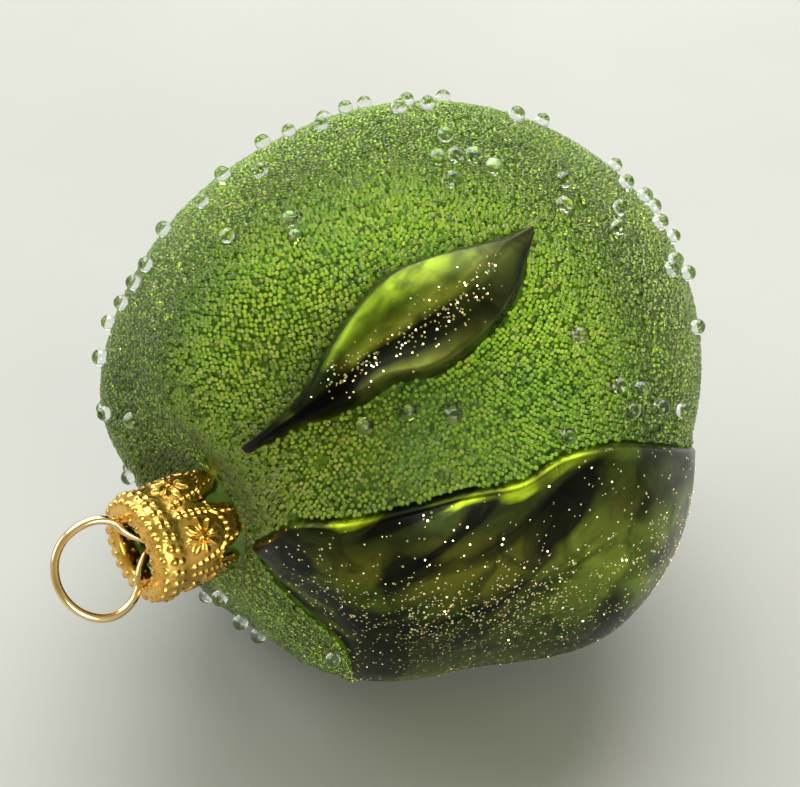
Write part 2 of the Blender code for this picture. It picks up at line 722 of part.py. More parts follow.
finish(glass, material("leaf_green_glass", (0.055, 0.085, 0.012), 0.18, 0.55), 40)
finish(glass_neck, material("neck_green_glass", (0.10, 0.19, 0.02), 0.15, 0.55), 40)
finish(coat, material("sugared_green", (0.27, 0.42, 0.09), 0.45, 0.2), 30)
finish(cap, material("stamped_gold", (0.83, 0.52, 0.14), 0.28, 1.0), 35)
finish(ring, material("gold_wire", (0.86, 0.62, 0.30), 0.15, 1.0), 50)
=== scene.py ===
"""Looks of the lime-shaped glass tree ornament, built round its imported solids."""

import math
import random

import bpy
import numpy as np
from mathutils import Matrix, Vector

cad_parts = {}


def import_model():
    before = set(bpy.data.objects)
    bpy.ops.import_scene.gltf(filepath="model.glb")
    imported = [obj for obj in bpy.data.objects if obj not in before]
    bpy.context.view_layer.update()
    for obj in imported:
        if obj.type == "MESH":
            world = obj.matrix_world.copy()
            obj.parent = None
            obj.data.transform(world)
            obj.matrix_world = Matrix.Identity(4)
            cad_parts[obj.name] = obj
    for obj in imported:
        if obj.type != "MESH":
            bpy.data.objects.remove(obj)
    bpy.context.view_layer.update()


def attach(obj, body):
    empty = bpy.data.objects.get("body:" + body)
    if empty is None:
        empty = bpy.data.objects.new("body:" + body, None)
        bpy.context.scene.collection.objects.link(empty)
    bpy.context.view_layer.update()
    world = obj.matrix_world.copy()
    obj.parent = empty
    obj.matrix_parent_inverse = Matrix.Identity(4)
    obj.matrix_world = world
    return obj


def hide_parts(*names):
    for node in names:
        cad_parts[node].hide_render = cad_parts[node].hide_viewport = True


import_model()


# Studio. A pale matt table runs on without an edge, a broad soft lamp hangs behind
# and above the ornament, and weaker ones fill from the left and the front. The camera looks
# down on the ornament from the photograph's side.

MM = 0.001
REST_SHIFT = (2.2, 0.8)
CENTRE_HEIGHT = 31.9
VIEW_AZIMUTH = math.radians(-37.4)
VIEW_ELEVATION = math.radians(40.0)
VIEW_DISTANCE = 330.0
VIEW_CENTRE = (403.0, 386.0)
FRAME_SIZE = (800, 787)
PIXELS_PER_MM = 8.5
SENSOR_MM = 36.0
TABLE_WIDTH = 6.0
ROOM_LIGHT = 1.10

VIEW_RIGHT = np.array((math.cos(VIEW_AZIMUTH), math.sin(VIEW_AZIMUTH), 0.0))
VIEW_BACK = np.array((
    math.sin(VIEW_AZIMUTH) * math.cos(VIEW_ELEVATION),
    -math.cos(VIEW_AZIMUTH) * math.cos(VIEW_ELEVATION),
    math.sin(VIEW_ELEVATION),
))
BODY_CENTRE = np.array((*REST_SHIFT, CENTRE_HEIGHT))


def deselect():
    if bpy.context.mode != "OBJECT":
        bpy.ops.object.mode_set(mode="OBJECT")
    bpy.ops.object.select_all(action="DESELECT")


def add_object(name, data):
    item = bpy.data.objects.new(name, data)
    bpy.context.scene.collection.objects.link(item)
    return item


def aim(item, place, along):
    """Puts a lamp or the camera at a place in metres, looking along a direction."""
    item.location = place
    item.rotation_mode = "QUATERNION"
    item.rotation_quaternion = Vector(along).to_track_quat("-Z", "Y")


def node(tree, kind, **values):
    made = tree.nodes.new(kind)
    for name, value in values.items():
        setattr(made, name, value)
    return made


def new_material(name):
    made = bpy.data.materials.new(name)
    made.use_nodes = True
    tree = made.node_tree
    return made, tree, tree.nodes["Principled BSDF"]


def ramp(tree, factor, stops):
    """Colour ramp with (position, colour) stops, fed by a factor socket."""
    made = tree.nodes.new("ShaderNodeValToRGB")
    elements = made.color_ramp.elements
    while len(elements) < len(stops):
        elements.new(0.5)
    for element, (position, colour) in zip(elements, stops):
        element.position = position
        element.color = (*colour, 1.0)
    tree.links.new(factor, made.inputs["Fac"])
    return made.outputs["Color"]


def feed(tree, made, values):
    """Links sockets and sets plain values on a node's inputs, found by name or number."""
    for label, value in values.items():
        socket = made.inputs[label]
        if isinstance(value, bpy.types.NodeSocket):
            tree.links.new(value, socket)
        else:
            socket.default_value = (*value, 1.0) if socket.type == "RGBA" else value


def noise(tree, vector, scale, detail=2.0, distortion=0.0):
    made = tree.nodes.new("ShaderNodeTexNoise")
    feed(tree, made, {"Vector": vector, "Scale": scale, "Detail": detail, "Distortion": distortion})
    return made.outputs["Fac"]


def object_coordinates(tree):
    return tree.nodes.new("ShaderNodeTexCoord").outputs["Object"]


camera_data = bpy.data.cameras.new("camera")
camera = add_object("camera", camera_data)
aim(camera, (BODY_CENTRE + VIEW_BACK * VIEW_DISTANCE) * MM, -VIEW_BACK)
camera_data.sensor_width = SENSOR_MM
camera_data.lens = PIXELS_PER_MM * VIEW_DISTANCE * SENSOR_MM / FRAME_SIZE[0]
camera_data.shift_x = (FRAME_SIZE[0] / 2 - VIEW_CENTRE[0]) / FRAME_SIZE[0]
camera_data.shift_y = (VIEW_CENTRE[1] - FRAME_SIZE[1] / 2) / FRAME_SIZE[0]
camera_data.clip_start = 0.01
camera_data.clip_end = 20.0
bpy.context.scene.camera = camera
bpy.context.scene.view_settings.view_transform = "Standard"

deselect()
bpy.ops.mesh.primitive_plane_add(size=TABLE_WIDTH, location=(0.0, 0.0, 0.0))
table = bpy.context.object
table.name = "table"
table_paint, tree, shader = new_material("table_paint")
grain = noise(tree, object_coordinates(tree), 18.0, 3.0)
shade = ramp(tree, grain, ((0.3, (0.36, 0.36, 0.35)), (0.7, (0.385, 0.385, 0.375))))
feed(tree, shader, {"Base Color": shade, "Roughness": 0.6})
table.data.materials.append(table_paint)

AWAY = np.array((-math.sin(VIEW_AZIMUTH), math.cos(VIEW_AZIMUTH), 0.0))
# Name, steps to the right, away and up from the ornament, width, power and colour.
LAMPS = (
    ("back_lamp", (0.02, 0.30, 0.46), 0.62, 5.1, (1.0, 0.985, 0.95)),
    ("left_lamp", (-0.45, 0.12, 0.36), 0.36, 1.2, (0.95, 0.98, 1.0)),
    ("front_lamp", (0.20, -0.46, 0.12), 0.40, 1.9, (1.0, 1.0, 0.94)),
)
for lamp_name, (right, away, up), size, watts, colour in LAMPS:
    place = VIEW_RIGHT * right + AWAY * away + np.array((0.0, 0.0, up))
    light_data = bpy.data.lights.new(lamp_name, "AREA")
    light_data.shape = "DISK"
    light_data.size = size
    light_data.energy = watts
    light_data.color = colour
    aim(add_object(lamp_name, light_data), place + BODY_CENTRE * MM, -place)

room = bpy.data.worlds.new("room")
bpy.context.scene.world = room
room.use_nodes = True
tree = room.node_tree
background = tree.nodes["Background"]
direction = tree.nodes.new("ShaderNodeTexCoord").outputs["Generated"]
facing = node(tree, "ShaderNodeVectorMath", operation="DOT_PRODUCT")
feed(tree, facing, {0: direction, 1: tuple(VIEW_BACK)})
wall = ramp(tree, facing.outputs["Value"], (
    (0.0, (0.52, 0.54, 0.52)), (0.45, (0.46, 0.48, 0.42)),
    (0.75, (0.38, 0.39, 0.22)), (0.95, (0.30, 0.31, 0.13)),
))
feed(tree, background, {"Color": wall, "Strength": ROOM_LIGHT})


# Blown glass shell. One bubble of clear glass, silvered inside and lacquered green,
# with a neck drawn out at the stem end for the cap. Its skin is the rounded body of
# the lime, shallow lobes round the neck and a blunt tip at the far end.

BODY = "root"
PROFILE_DEG = (0, 12, 25, 38, 52, 68, 90, 112, 135, 155, 168, 174, 180)
PROFILE_MM = (29.3, 30.0, 32.2, 33.9, 34.1, 33.3, 32.3, 32.5, 33.7, 35.3, 36.5, 37.7, 38.3)
STEM = np.array((-29.0, -2.8, -2.5))
MEAN_RADIUS = 33.0
LOBES = 5
LOBE_HEIGHT = 0.55
COAT_THICKNESS = 0.45
GAP = 0.30
# Hollows and swellings: pixel, height and reach in mm.
DENTS = (
    (266, 352, -1.5, 5.5),
    (315, 385, -0.6, 5.0),
    (165, 395, 0.5, 7.0),
    (290, 262, 0.6, 8.0),
    (122, 432, 0.9, 8.0),
    (690, 375, 1.0, 20.0),
    (430, 108, 0.5, 18.0),
    (445, 664, -1.1, 9.0),
)
CAP_TILT = math.radians(3.0)
NECK_RADIUS = 4.9
BORE_RADIUS = 3.9
NECK_LENGTH = 8.3
CREASE_DEG = 50


def unit(v):
    v = np.asarray(v, float)
    return v / np.linalg.norm(v, axis=-1, keepdims=True)


def smooth(value, low, high):
    t = np.clip((value - low) / (high - low), 0.0, 1.0)
    return t * t * (3.0 - 2.0 * t)


def curve_through(xs, ys, at):
    """Smooth curve through the points (xs, ys)."""
    xs = np.asarray(xs, float)
    ys = np.asarray(ys, float)
    slope = np.gradient(ys, xs)
    i = np.clip(np.searchsorted(xs, at, side="right") - 1, 0, len(xs) - 2)
    h = xs[i + 1] - xs[i]
    t = (at - xs[i]) / h
    start = (1 + 2 * t) * (1 - t) ** 2 * ys[i] + t * (1 - t) ** 2 * h * slope[i]
    end = t * t * (3 - 2 * t) * ys[i + 1] + t * t * (t - 1) * h * slope[i + 1]
    return start + end


STEM_DIR = unit(STEM)
SIDE_A = unit(np.cross(STEM_DIR, (0.0, 0.0, 1.0)))
SIDE_B = np.cross(STEM_DIR, SIDE_A)
CAP_DIR = np.array((-math.cos(CAP_TILT), 0.0, math.sin(CAP_TILT)))
CAP_SIDE = np.array((0.0, 1.0, 0.0))
CAP_UP = np.cross(CAP_DIR, CAP_SIDE)
VIEW_UP = np.cross(VIEW_BACK, VIEW_RIGHT)


def bare_radius(d):
    """Radius of the plain body towards each unit direction, in mm."""
    theta = np.degrees(np.arccos(np.clip(d @ STEM_DIR, -1.0, 1.0)))
    phi = np.arctan2(d @ SIDE_B, d @ SIDE_A)
    radius = curve_through(PROFILE_DEG, PROFILE_MM, theta)
    lobe = np.exp(-(((theta - 42.0) / 20.0) ** 2))
    radius = radius + LOBE_HEIGHT * lobe * np.cos(LOBES * phi + 0.9)
    radius = radius + 0.25 * np.sin(3 * phi + 1.0) * np.sin(np.radians(theta)) ** 2
    seat = 1.0 - smooth(theta, 13.0, 27.0)
    plane = float(STEM @ CAP_DIR) / np.maximum(d @ CAP_DIR, 0.3)
    return radius * (1.0 - seat) + plane * seat


def seen_at(pixel, lift=0.0):
    """Direction in which the view ray of a pixel meets the body, or passes nearest it."""
    eye = VIEW_BACK * VIEW_DISTANCE
    across = (pixel[0] - VIEW_CENTRE[0]) / PIXELS_PER_MM
    up = (VIEW_CENTRE[1] - pixel[1]) / PIXELS_PER_MM
    ray = unit(VIEW_RIGHT * across + VIEW_UP * up - eye)
    nearest = eye - ray * float(eye @ ray)
    miss = float(nearest @ nearest)
    here = unit(nearest)
    for _ in range(12):
        radius = float(bare_radius(here[None])[0]) + lift
        if radius * radius <= miss:
            here = unit(nearest)
            continue
        here = unit(nearest - ray * math.sqrt(radius * radius - miss))
    return here


DENT_PLACES = [(seen_at((x, y)), height, reach) for x, y, height, reach in DENTS]


def body_radius(d):
    radius = bare_radius(d)
    for where, height, reach in DENT_PLACES:
        away = np.arccos(np.clip(d @ where, -1.0, 1.0)) * MEAN_RADIUS
        radius = radius + height * np.exp(-((away / reach) ** 2))
    return radius


def skin_points(d, lift):
    """Points lift mm outside the coat's mean surface, flat where the ornament rests."""
    points = d * (body_radius(d) + lift)[:, None]
    floor = -CENTRE_HEIGHT - min(lift, 0.0)
    low = points[:, 2] < floor
    scale = np.where(low, floor / np.minimum(points[:, 2], -1e-6), 1.0)
    return points * scale[:, None]


def world(points):
    return (np.asarray(points, float) + BODY_CENTRE) * MM


def set_points(item, points):
    item.data.vertices.foreach_set("co", np.asarray(points, float).reshape(-1))
    item.data.update()


def points_of(item):
    co = np.empty(len(item.data.vertices) * 3)
    item.data.vertices.foreach_get("co", co)
    return co.reshape(-1, 3)


def only(item):
    deselect()
    item.select_set(True)
    bpy.context.view_layer.objects.active = item
    return item


def edit_all(item):
    """Opens a mesh for editing with all of it selected."""
    only(item)
    bpy.ops.object.mode_set(mode="EDIT")
    bpy.ops.mesh.select_all(action="SELECT")


def face_out(item, angle=None):
    edit_all(item)
    bpy.ops.mesh.normals_make_consistent(inside=False)
    bpy.ops.object.mode_set(mode="OBJECT")
    if angle is None:
        bpy.ops.object.shade_smooth()
    else:
        bpy.ops.object.shade_smooth_by_angle(angle=math.radians(angle))


def round_skin(name, detail, lift):
    """A ball shaped into the body's skin at the given lift."""
    deselect()
    bpy.ops.mesh.primitive_ico_sphere_add(subdivisions=detail, radius=1.0)
    item = bpy.context.object
    item.name = name
    set_points(item, world(skin_points(unit(points_of(item)), lift)))
    face_out(item)
    return item


def turned(name, profile, steps, closed=True):
    """A profile of (distance along the axis, radius) spun round the Z axis, in mm."""
    mesh = bpy.data.meshes.new(name)
    count = len(profile)
    edges = [(i, (i + 1) % count) for i in range(count if closed else count - 1)]
    mesh.from_pydata([(radius, 0.0, along) for along, radius in profile], edges, [])
    item = add_object(name, mesh)
    edit_all(item)
    bpy.ops.mesh.spin(steps=steps, angle=2.0 * math.pi, center=(0, 0, 0), axis=(0, 0, 1))
    bpy.ops.mesh.select_all(action="SELECT")
    bpy.ops.mesh.remove_doubles(threshold=0.0005)
    bpy.ops.object.mode_set(mode="OBJECT")
    return item


def on_cap_axis(item):
    """Moves a turned piece from the Z axis onto the cap's axis."""
    co = points_of(item)
    placed = STEM + CAP_DIR * co[:, 2:3] + CAP_SIDE * co[:, 0:1] + CAP_UP * co[:, 1:2]
    set_points(item, world(placed))


glass_shell = round_skin("glass_shell", 5, -COAT_THICKNESS - GAP)
neck_tube = turned("neck_tube", (
    (-1.6, BORE_RADIUS), (-1.6, 8.4), (-0.9, 8.2), (-0.55, 6.6), (-0.1, 5.5), (0.7, NECK_RADIUS),
    (NECK_LENGTH - 0.4, NECK_RADIUS), (NECK_LENGTH, NECK_RADIUS - 0.3),
    (NECK_LENGTH, BORE_RADIUS + 0.3), (NECK_LENGTH - 0.4, BORE_RADIUS),
), 64)
on_cap_axis(neck_tube)
face_out(neck_tube, CREASE_DEG)

neck_lacquer, tree, shader = new_material("neck_lacquer")
streak = noise(tree, object_coordinates(tree), 700.0, 3.0)
tone = ramp(tree, streak, ((0.3, (0.06, 0.12, 0.008)), (0.7, (0.14, 0.26, 0.015))))
feed(tree, shader, {
    "Base Color": tone, "Metallic": 0.7, "Roughness": 0.22, "Coat Weight": 0.8, "Coat Roughness": 0.06,
})
for piece, cad_node, slot in (
    (glass_shell, "glass_body", "leaf_green_glass"), (neck_tube, "glass_neck", "neck_green_glass"),
):
    piece.data.materials.append(neck_lacquer)
    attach(piece, BODY)
    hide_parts(cad_node)


# Moulded leaves. Two leaf shapes blown into the same glass, left free of beads and
# brushed with transparent dark green and brown lacquer over the silvering, with highlights,
# reflections and shade partly painted into its bands. Each rises from the body on a soft
# fillet and swells to a rounded crest.

# Leaf margins as seen, in pixels, and where they are hidden in mm from the centre.
SMALL_UPPER = (
    (238, 447), (258, 431), (286, 404), (300, 383), (331, 332),
    (360, 294), (392, 266), (415, 257), (461, 244), (533, 224),
)
SMALL_LOWER = (
    (246, 456), (268, 445), (293, 431), (335, 419), (365, 406), (390, 389),
    (440, 376), (478, 351), (504, 324), (522, 294), (534, 236),
)
LARGE_UPPER = (
    (249, 546), (268, 536), (292, 523), (349, 520), (408, 507), (464, 492),
    (527, 479), (561, 457), (605, 443), (661, 443),
)
LARGE_UPPER_BACK = ((24.5, -25.0, -5.0), (27.4, -18.5, -9.5))
LARGE_LOWER = ((253, 557), (261, 570), (292, 607), (333, 645))
LARGE_LOWER_BACK = (
    (-15.8, -14.4, -25.1), (-9.0, -14.4, -27.0), (0.5, -15.0, -27.9),
    (10.5, -15.0, -26.6), (19.5, -14.5, -21.5), (26.4, -15.8, -12.0),
)
# Edge height and crest height in mm, side of the crest, share of the early swell, start and
# end of the rise, start and end of the fall, roundness below the crest, how far the lower
# edge sinks, fillet width in mm.
SMALL_FORM = (1.5, 3.6, 0.10, 0.0, 0.0, 0.3, 0.68, 0.98, 0.75, 0.0, 1.6)
LARGE_FORM = (1.1, 5.8, 0.0, 0.1, 0.48, 0.62, 0.58, 0.95, 1.6, 0.8, 1.2)
LEAF_ROOT = -0.7
SMALL_LENGTH = 46.0
LARGE_LENGTH = 72.0
BRUSH_TURN = 0.38
BRUSH_DRAW = 0.28
LEAF_BLEND = 0.12


def resample(points, count):
    """Evenly spaced points on a smooth curve through the given ones."""
    points = np.asarray(points, float)
    steps = np.concatenate([[0.0], np.cumsum(np.linalg.norm(np.diff(points, axis=0), axis=1))])
    dense = np.linspace(0.0, steps[-1], 400)
    curve = np.stack([curve_through(steps, points[:, i], dense) for i in range(3)], axis=1)
    run = np.concatenate([[0.0], np.cumsum(np.linalg.norm(np.diff(curve, axis=0), axis=1))])
    at = np.linspace(0.0, run[-1], count)
    return np.stack([np.interp(at, run, curve[:, i]) for i in range(3)], axis=1)


def leaf_margins(upper, upper_back, lower, lower_back, count):
    a = [seen_at(p, 1.0) for p in upper] + [unit(p) for p in upper_back]
    b = [seen_at(p, 1.0) for p in lower] + [unit(p) for p in lower_back]
    return unit(resample(a, count)), unit(resample(b, count))


def leaf_places(margins, s, v):
    """Directions at the leaf's own coordinates: s from stalk to tip, v from -1 to 1 across."""
    upper, lower = margins
    at = np.clip(s, 0.0, 1.0) * (len(upper) - 1)
    i = np.clip(at.astype(int), 0, len(upper) - 2)
    t = (at - i)[:, None]
    top = upper[i] * (1 - t) + upper[i + 1] * t
    low = lower[i] * (1 - t) + lower[i + 1] * t
    w = ((v + 1.0) / 2.0)[:, None]
    return unit(low * (1 - w) + top * w), np.linalg.norm(top - low, axis=1) * MEAN_RADIUS


def leaf_height(form, s, v, width, length):
    """Height over the coat: a fillet at the margin, a raised edge and a swelling crest."""
    edge, crest, side, early, rise_a, rise_b, fall_a, fall_b, power, sunk, fillet = form
    u = np.where(v > side, (v - side) / (1.0 - side), (v - side) / (1.0 + side))
    swell = early * smooth(s, 0.05, 0.35) + (1.0 - early) * smooth(s, rise_a, rise_b)
    swell = swell * (1.0 - smooth(s, fall_a, fall_b))
    swell = swell * np.maximum(1.0 - u * u, 0.0) ** np.where(v > side, 0.75, power)
    low_side = 1.0 - sunk * smooth(-v, -0.2, 0.8)
    inward = np.minimum((1.0 - np.abs(v)) * width / 2.0, np.minimum(s, 1.0 - s) * length)
    fillet = np.minimum(fillet, np.maximum(width * 0.3, 0.15))
    slope = 1.0 - (1.0 - np.clip(inward / fillet, 0.0, 1.0)) ** 2.2
    plateau = edge * smooth(s, -0.25, 0.12) * low_side
    return LEAF_ROOT + (plateau - LEAF_ROOT) * slope + (crest - edge) * swell * slope


def moulded_leaf(name, margins, form, length, along, across):
    """A grid laid over the leaf's outline and raised to its relief."""
    deselect()
    bpy.ops.mesh.primitive_grid_add(x_subdivisions=along, y_subdivisions=across, size=2.0)
    item = bpy.context.object
    item.name = name
    flat = points_of(item)
    s = 0.5 - 0.5 * np.cos((flat[:, 0] + 1.0) / 2.0 * math.pi)
    s = 0.5 * s + 0.25 * (flat[:, 0] + 1.0)
    v = np.sin(flat[:, 1] * math.pi / 2.0) * 0.6 + flat[:, 1] * 0.4
    d, width = leaf_places(margins, s, v)
    height = leaf_height(form, s, v, width, length)
    set_points(item, world(d * (body_radius(d) + height)[:, None]))
    leaf_map = item.data.uv_layers.new(name="leaf_map")
    loops = np.empty(len(item.data.loops), int)
    item.data.loops.foreach_get("vertex_index", loops)
    uv = np.stack([s[loops], (v[loops] + 1.0) / 2.0], axis=1)
    leaf_map.data.foreach_set("uv", uv.reshape(-1))
    only(item)
    bpy.ops.object.shade_smooth()
    middle = len(item.data.polygons) // 2
    face = item.data.polygons[middle]
    if face.normal.dot(face.center - Vector(BODY_CENTRE * MM)) < 0.0:
        edit_all(item)
        bpy.ops.mesh.flip_normals()
        bpy.ops.object.mode_set(mode="OBJECT")
    return item


def mix(tree, factor, first, second, mode="MIX"):
    made = node(tree, "ShaderNodeMix", data_type="RGBA", blend_type=mode)
    feed(tree, made, {0: factor, 6: first, 7: second})
    return made.outputs[2]


def bump(tree, height, strength, distance):
    made = tree.nodes.new("ShaderNodeBump")
    feed(tree, made, {"Height": height, "Strength": strength, "Distance": distance})
    return made.outputs["Normal"]


def new_group(name, takes, gives):
    """An empty node group with its sockets given as name: kind, then its ends to link to."""
    group = bpy.data.node_groups.new(name, "ShaderNodeTree")
    for direction, sockets in (("INPUT", takes), ("OUTPUT", gives)):
        for label, kind in sockets.items():
            group.interface.new_socket(label, in_out=direction, socket_type="NodeSocket" + kind)
    entry = group.nodes.new("NodeGroupInput")
    return group, entry.outputs, group.nodes.new("NodeGroupOutput")


def use_group(tree, group, values):
    """The group in a material, with that material's own values."""
    made = node(tree, "ShaderNodeGroup", node_tree=group)
    feed(tree, made, values)
    return made.outputs


def map_range(tree, value, low, high, to_low=0.0, to_high=1.0):
    """Takes low..high to to_low..to_high, each a socket or a number."""
    made = tree.nodes.new("ShaderNodeMapRange")
    feed(tree, made, {
        "Value": value, "From Min": low, "From Max": high, "To Min": to_low, "To Max": to_high,
    })
    return made.outputs["Result"]


def number(tree, operation, *values):
    made = node(tree, "ShaderNodeMath", operation=operation)
    feed(tree, made, dict(enumerate(values)))
    return made.outputs["Value"]


def brushwork_group():
    """Marks of the brush on a leaf: wavering places across and along it, dark streaks,
    blots and mottling, and how smooth the lacquer lies."""
    group, takes, leave = new_group(
        "brushwork",
        {"Length": "Float", "Width": "Float", "Streaks": "Float", "Darkest": "Float"},
        {
            "Across": "Float", "Along": "Float", "Wander": "Float", "Shade": "Color",
            "Roughness": "Float", "Normal": "Vector",
        },
    )
    uv = node(group, "ShaderNodeUVMap", uv_map="leaf_map").outputs["UV"]
    leaf_size = group.nodes.new("ShaderNodeCombineXYZ")
    feed(group, leaf_size, {"X": takes["Length"], "Y": takes["Width"]})
    laid = group.nodes.new("ShaderNodeMapping")
    feed(group, laid, {
        "Vector": uv, "Rotation": (0.0, 0.0, -BRUSH_TURN), "Scale": leaf_size.outputs["Vector"],
    })
    drawn = group.nodes.new("ShaderNodeMapping")
    feed(group, drawn, {"Vector": laid.outputs["Vector"], "Scale": (BRUSH_DRAW, 1.0, 1.0)})
    streak = noise(group, drawn.outputs["Vector"], takes["Streaks"], 3.0, 0.7)
    wander = noise(group, object_coordinates(group), 85.0, 2.0, 0.5)
    parts = group.nodes.new("ShaderNodeSeparateXYZ")
    feed(group, parts, {"Vector": uv})
    across = number(group, "MULTIPLY_ADD", number(group, "SUBTRACT", streak, 0.5), 0.12, parts.outputs["Y"])
    along = number(group, "MULTIPLY_ADD", number(group, "SUBTRACT", wander, 0.5), 0.30, parts.outputs["X"])
    darkened = map_range(group, streak, 0.38, 0.54, takes["Darkest"], 1.0)
    blots = noise(group, object_coordinates(group), 72.0, 1.0, 0.3)
    blotted = ramp(group, blots, ((0.60, (1.0, 1.0, 1.0)), (0.66, (0.10, 0.12, 0.10))))
    mottle = noise(group, object_coordinates(group), 240.0, 3.0, 0.8)
    mottled = ramp(group, mottle, ((0.36, (0.42, 0.45, 0.45)), (0.54, (1.0, 1.0, 1.0))))
    shade = mix(group, 1.0, darkened, blotted, "MULTIPLY")
    wear = noise(group, drawn.outputs["Vector"], number(group, "MULTIPLY", takes["Streaks"], 2.0), 2.0)
    feed(group, leave, {
        "Across": across, "Along": along, "Wander": wander,
        "Shade": mix(group, 1.0, shade, mottled, "MULTIPLY"),
        "Roughness": map_range(group, wear, 0.3, 0.7, 0.24, 0.42),
        "Normal": bump(group, streak, 0.06, 0.0006),
    })
    return group


brushwork = brushwork_group()


def brushed_lacquer_and_painted_light(name, stalk_bands_and_painted_light, tip_bands_and_painted_light, turn_at, stalk_end, brown, values):
    """Lacquer brushed along the leaf: soft bands across it that change towards the tip,
    dark at the stalk, blotted brown and marked by the brush. Some of the bands are painted
    light: highlights along a crest or edge, reflections of the light and floor, and shade."""
    made, tree, shader = new_material(name)
    marks = use_group(tree, brushwork, values)
    # The bands across the leaf mix real lacquer with painted highlights, reflections and shade.
    near = ramp(tree, marks["Across"], stalk_bands_and_painted_light)
    far = ramp(tree, marks["Across"], tip_bands_and_painted_light)
    turning = map_range(tree, marks["Along"], turn_at - LEAF_BLEND, turn_at + LEAF_BLEND)
    tone = mix(tree, turning, near, far)
    stalk = ramp(tree, marks["Along"], (
        (stalk_end - LEAF_BLEND, (0.08, 0.08, 0.06)), (stalk_end, (1.0, 1.0, 1.0)),
    ))
    tone = mix(tree, 1.0, tone, stalk, "MULTIPLY")
    tone = mix(tree, map_range(tree, marks["Wander"], 0.57, 0.72, 0.0, 0.6), tone, brown)
    tone = mix(tree, 1.0, tone, marks["Shade"], "MULTIPLY")
    feed(tree, shader, {
        "Base Color": tone, "Roughness": marks["Roughness"], "Normal": marks["Normal"],
        "Metallic": 0.9, "Coat Weight": 0.03, "Coat Roughness": 0.14,
    })
    return made


small_margins = leaf_margins(SMALL_UPPER, (), SMALL_LOWER, (), 160)
large_margins = leaf_margins(LARGE_UPPER, LARGE_UPPER_BACK, LARGE_LOWER, LARGE_LOWER_BACK, 200)
small_leaf = moulded_leaf("small_leaf", small_margins, SMALL_FORM, SMALL_LENGTH, 150, 60)
large_leaf = moulded_leaf("large_leaf", large_margins, LARGE_FORM, LARGE_LENGTH, 200, 110)
small_paint = brushed_lacquer_and_painted_light(
    "small_leaf_lacquer_and_painted_light",
    # Near the stalk, from the lower margin up: a thin olive band, the lower half painted near black as
    # shade, a pale band painted along the crest as its highlight, and the upper half painted yellow-green
    # as the reflection of the light above.
    (
        (0.0, (0.05, 0.06, 0.01)), (0.08, (0.16, 0.19, 0.02)), (0.18, (0.07, 0.08, 0.01)),
        (0.27, (0.004, 0.005, 0.002)), (0.44, (0.007, 0.009, 0.003)), (0.52, (0.30, 0.34, 0.04)),
        (0.64, (0.11, 0.16, 0.008)), (0.82, (0.19, 0.28, 0.010)), (0.94, (0.14, 0.20, 0.008)),
        (1.0, (0.04, 0.06, 0.008)),
    ),
    # Towards the tip: dark olive, painted a little lighter along the crest as its highlight.
    (
        (0.0, (0.03, 0.04, 0.01)), (0.3, (0.05, 0.06, 0.012)), (0.55, (0.11, 0.13, 0.02)),
        (0.75, (0.06, 0.07, 0.01)), (1.0, (0.03, 0.04, 0.008)),
    ),
    0.68, 0.22, (0.10, 0.08, 0.008),
    {"Length": 4.6, "Width": 1.3, "Streaks": 2.6, "Darkest": 0.40},
)
large_paint = brushed_lacquer_and_painted_light(
    "large_leaf_lacquer_and_painted_light",
    # Near the stalk, from the lower margin up: green and brown-olive bands, then a thin bright yellow-green
    # band painted along the upper edge as its highlight.
    (
        (0.0, (0.04, 0.055, 0.010)), (0.12, (0.09, 0.12, 0.012)), (0.26, (0.22, 0.31, 0.012)),
        (0.42, (0.05, 0.075, 0.005)), (0.60, (0.09, 0.13, 0.006)), (0.76, (0.13, 0.13, 0.010)),
        (0.88, (0.03, 0.04, 0.005)), (0.945, (0.03, 0.045, 0.005)), (0.965, (0.50, 0.66, 0.015)),
        (1.0, (0.45, 0.60, 0.012)),
    ),
    # Towards the tip: greyer greens, their grey painted as the floor's reflection.
    (
        (0.0, (0.08, 0.10, 0.04)), (0.3, (0.20, 0.26, 0.05)), (0.5, (0.10, 0.15, 0.03)),
        (0.7, (0.24, 0.34, 0.04)), (0.85, (0.05, 0.075, 0.012)), (1.0, (0.06, 0.09, 0.015)),
    ),
    0.52, 0.13, (0.085, 0.065, 0.008),
    {"Length": 7.2, "Width": 2.4, "Streaks": 2.6, "Darkest": 0.07},
)
for piece, paint in ((small_leaf, small_paint), (large_leaf, large_paint)):
    piece.data.materials.append(paint)
    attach(piece, BODY)
    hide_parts("glass_body")


# Bead coat. The body was brushed with glue and rolled in very small clear glass beads,
# so a crust of them covers the green lacquer everywhere but on the leaves and the neck.
# Here and there a bead is missing. The skin seen between the beads and in those gaps is
# painted dark as shade, the lacquer under each bead holds a painted caustic, and painted
# shade darkens a hollow between the leaves.

BEAD_PITCH = 0.51
BEAD_SIZE = 0.280
BEAD_COUNT = 54000
BEAD_JITTER = 0.19
BEAD_FOOT = 0.9
SIZE_SHARE = (0.80, 1.14)
LIFT_MEAN = 0.03
LIFT_SPREAD = 0.035
SKIN_LIFT = -0.26
COAT_SEED = 5
BARE_PATCH = ((214, 466), 1.9)
COAT_PIECES = 8
# Centre pixel and reach in mm of the painted shade in a hollow between the leaves.
SHADED_HOLLOW = (330, 475)
HOLLOW_REACH = (8.33, 24.0)
LOST_SHARE = 0.03
PIT_SHARE = 0.45
PIT_LEVEL = 1.9
MARGIN_OVERLAP = 0.15
NECK_CLEAR = 6.3
MARGIN_RISE = 0.40
MARGIN_REACH = 0.9
BEAD_WRAP = 1.3


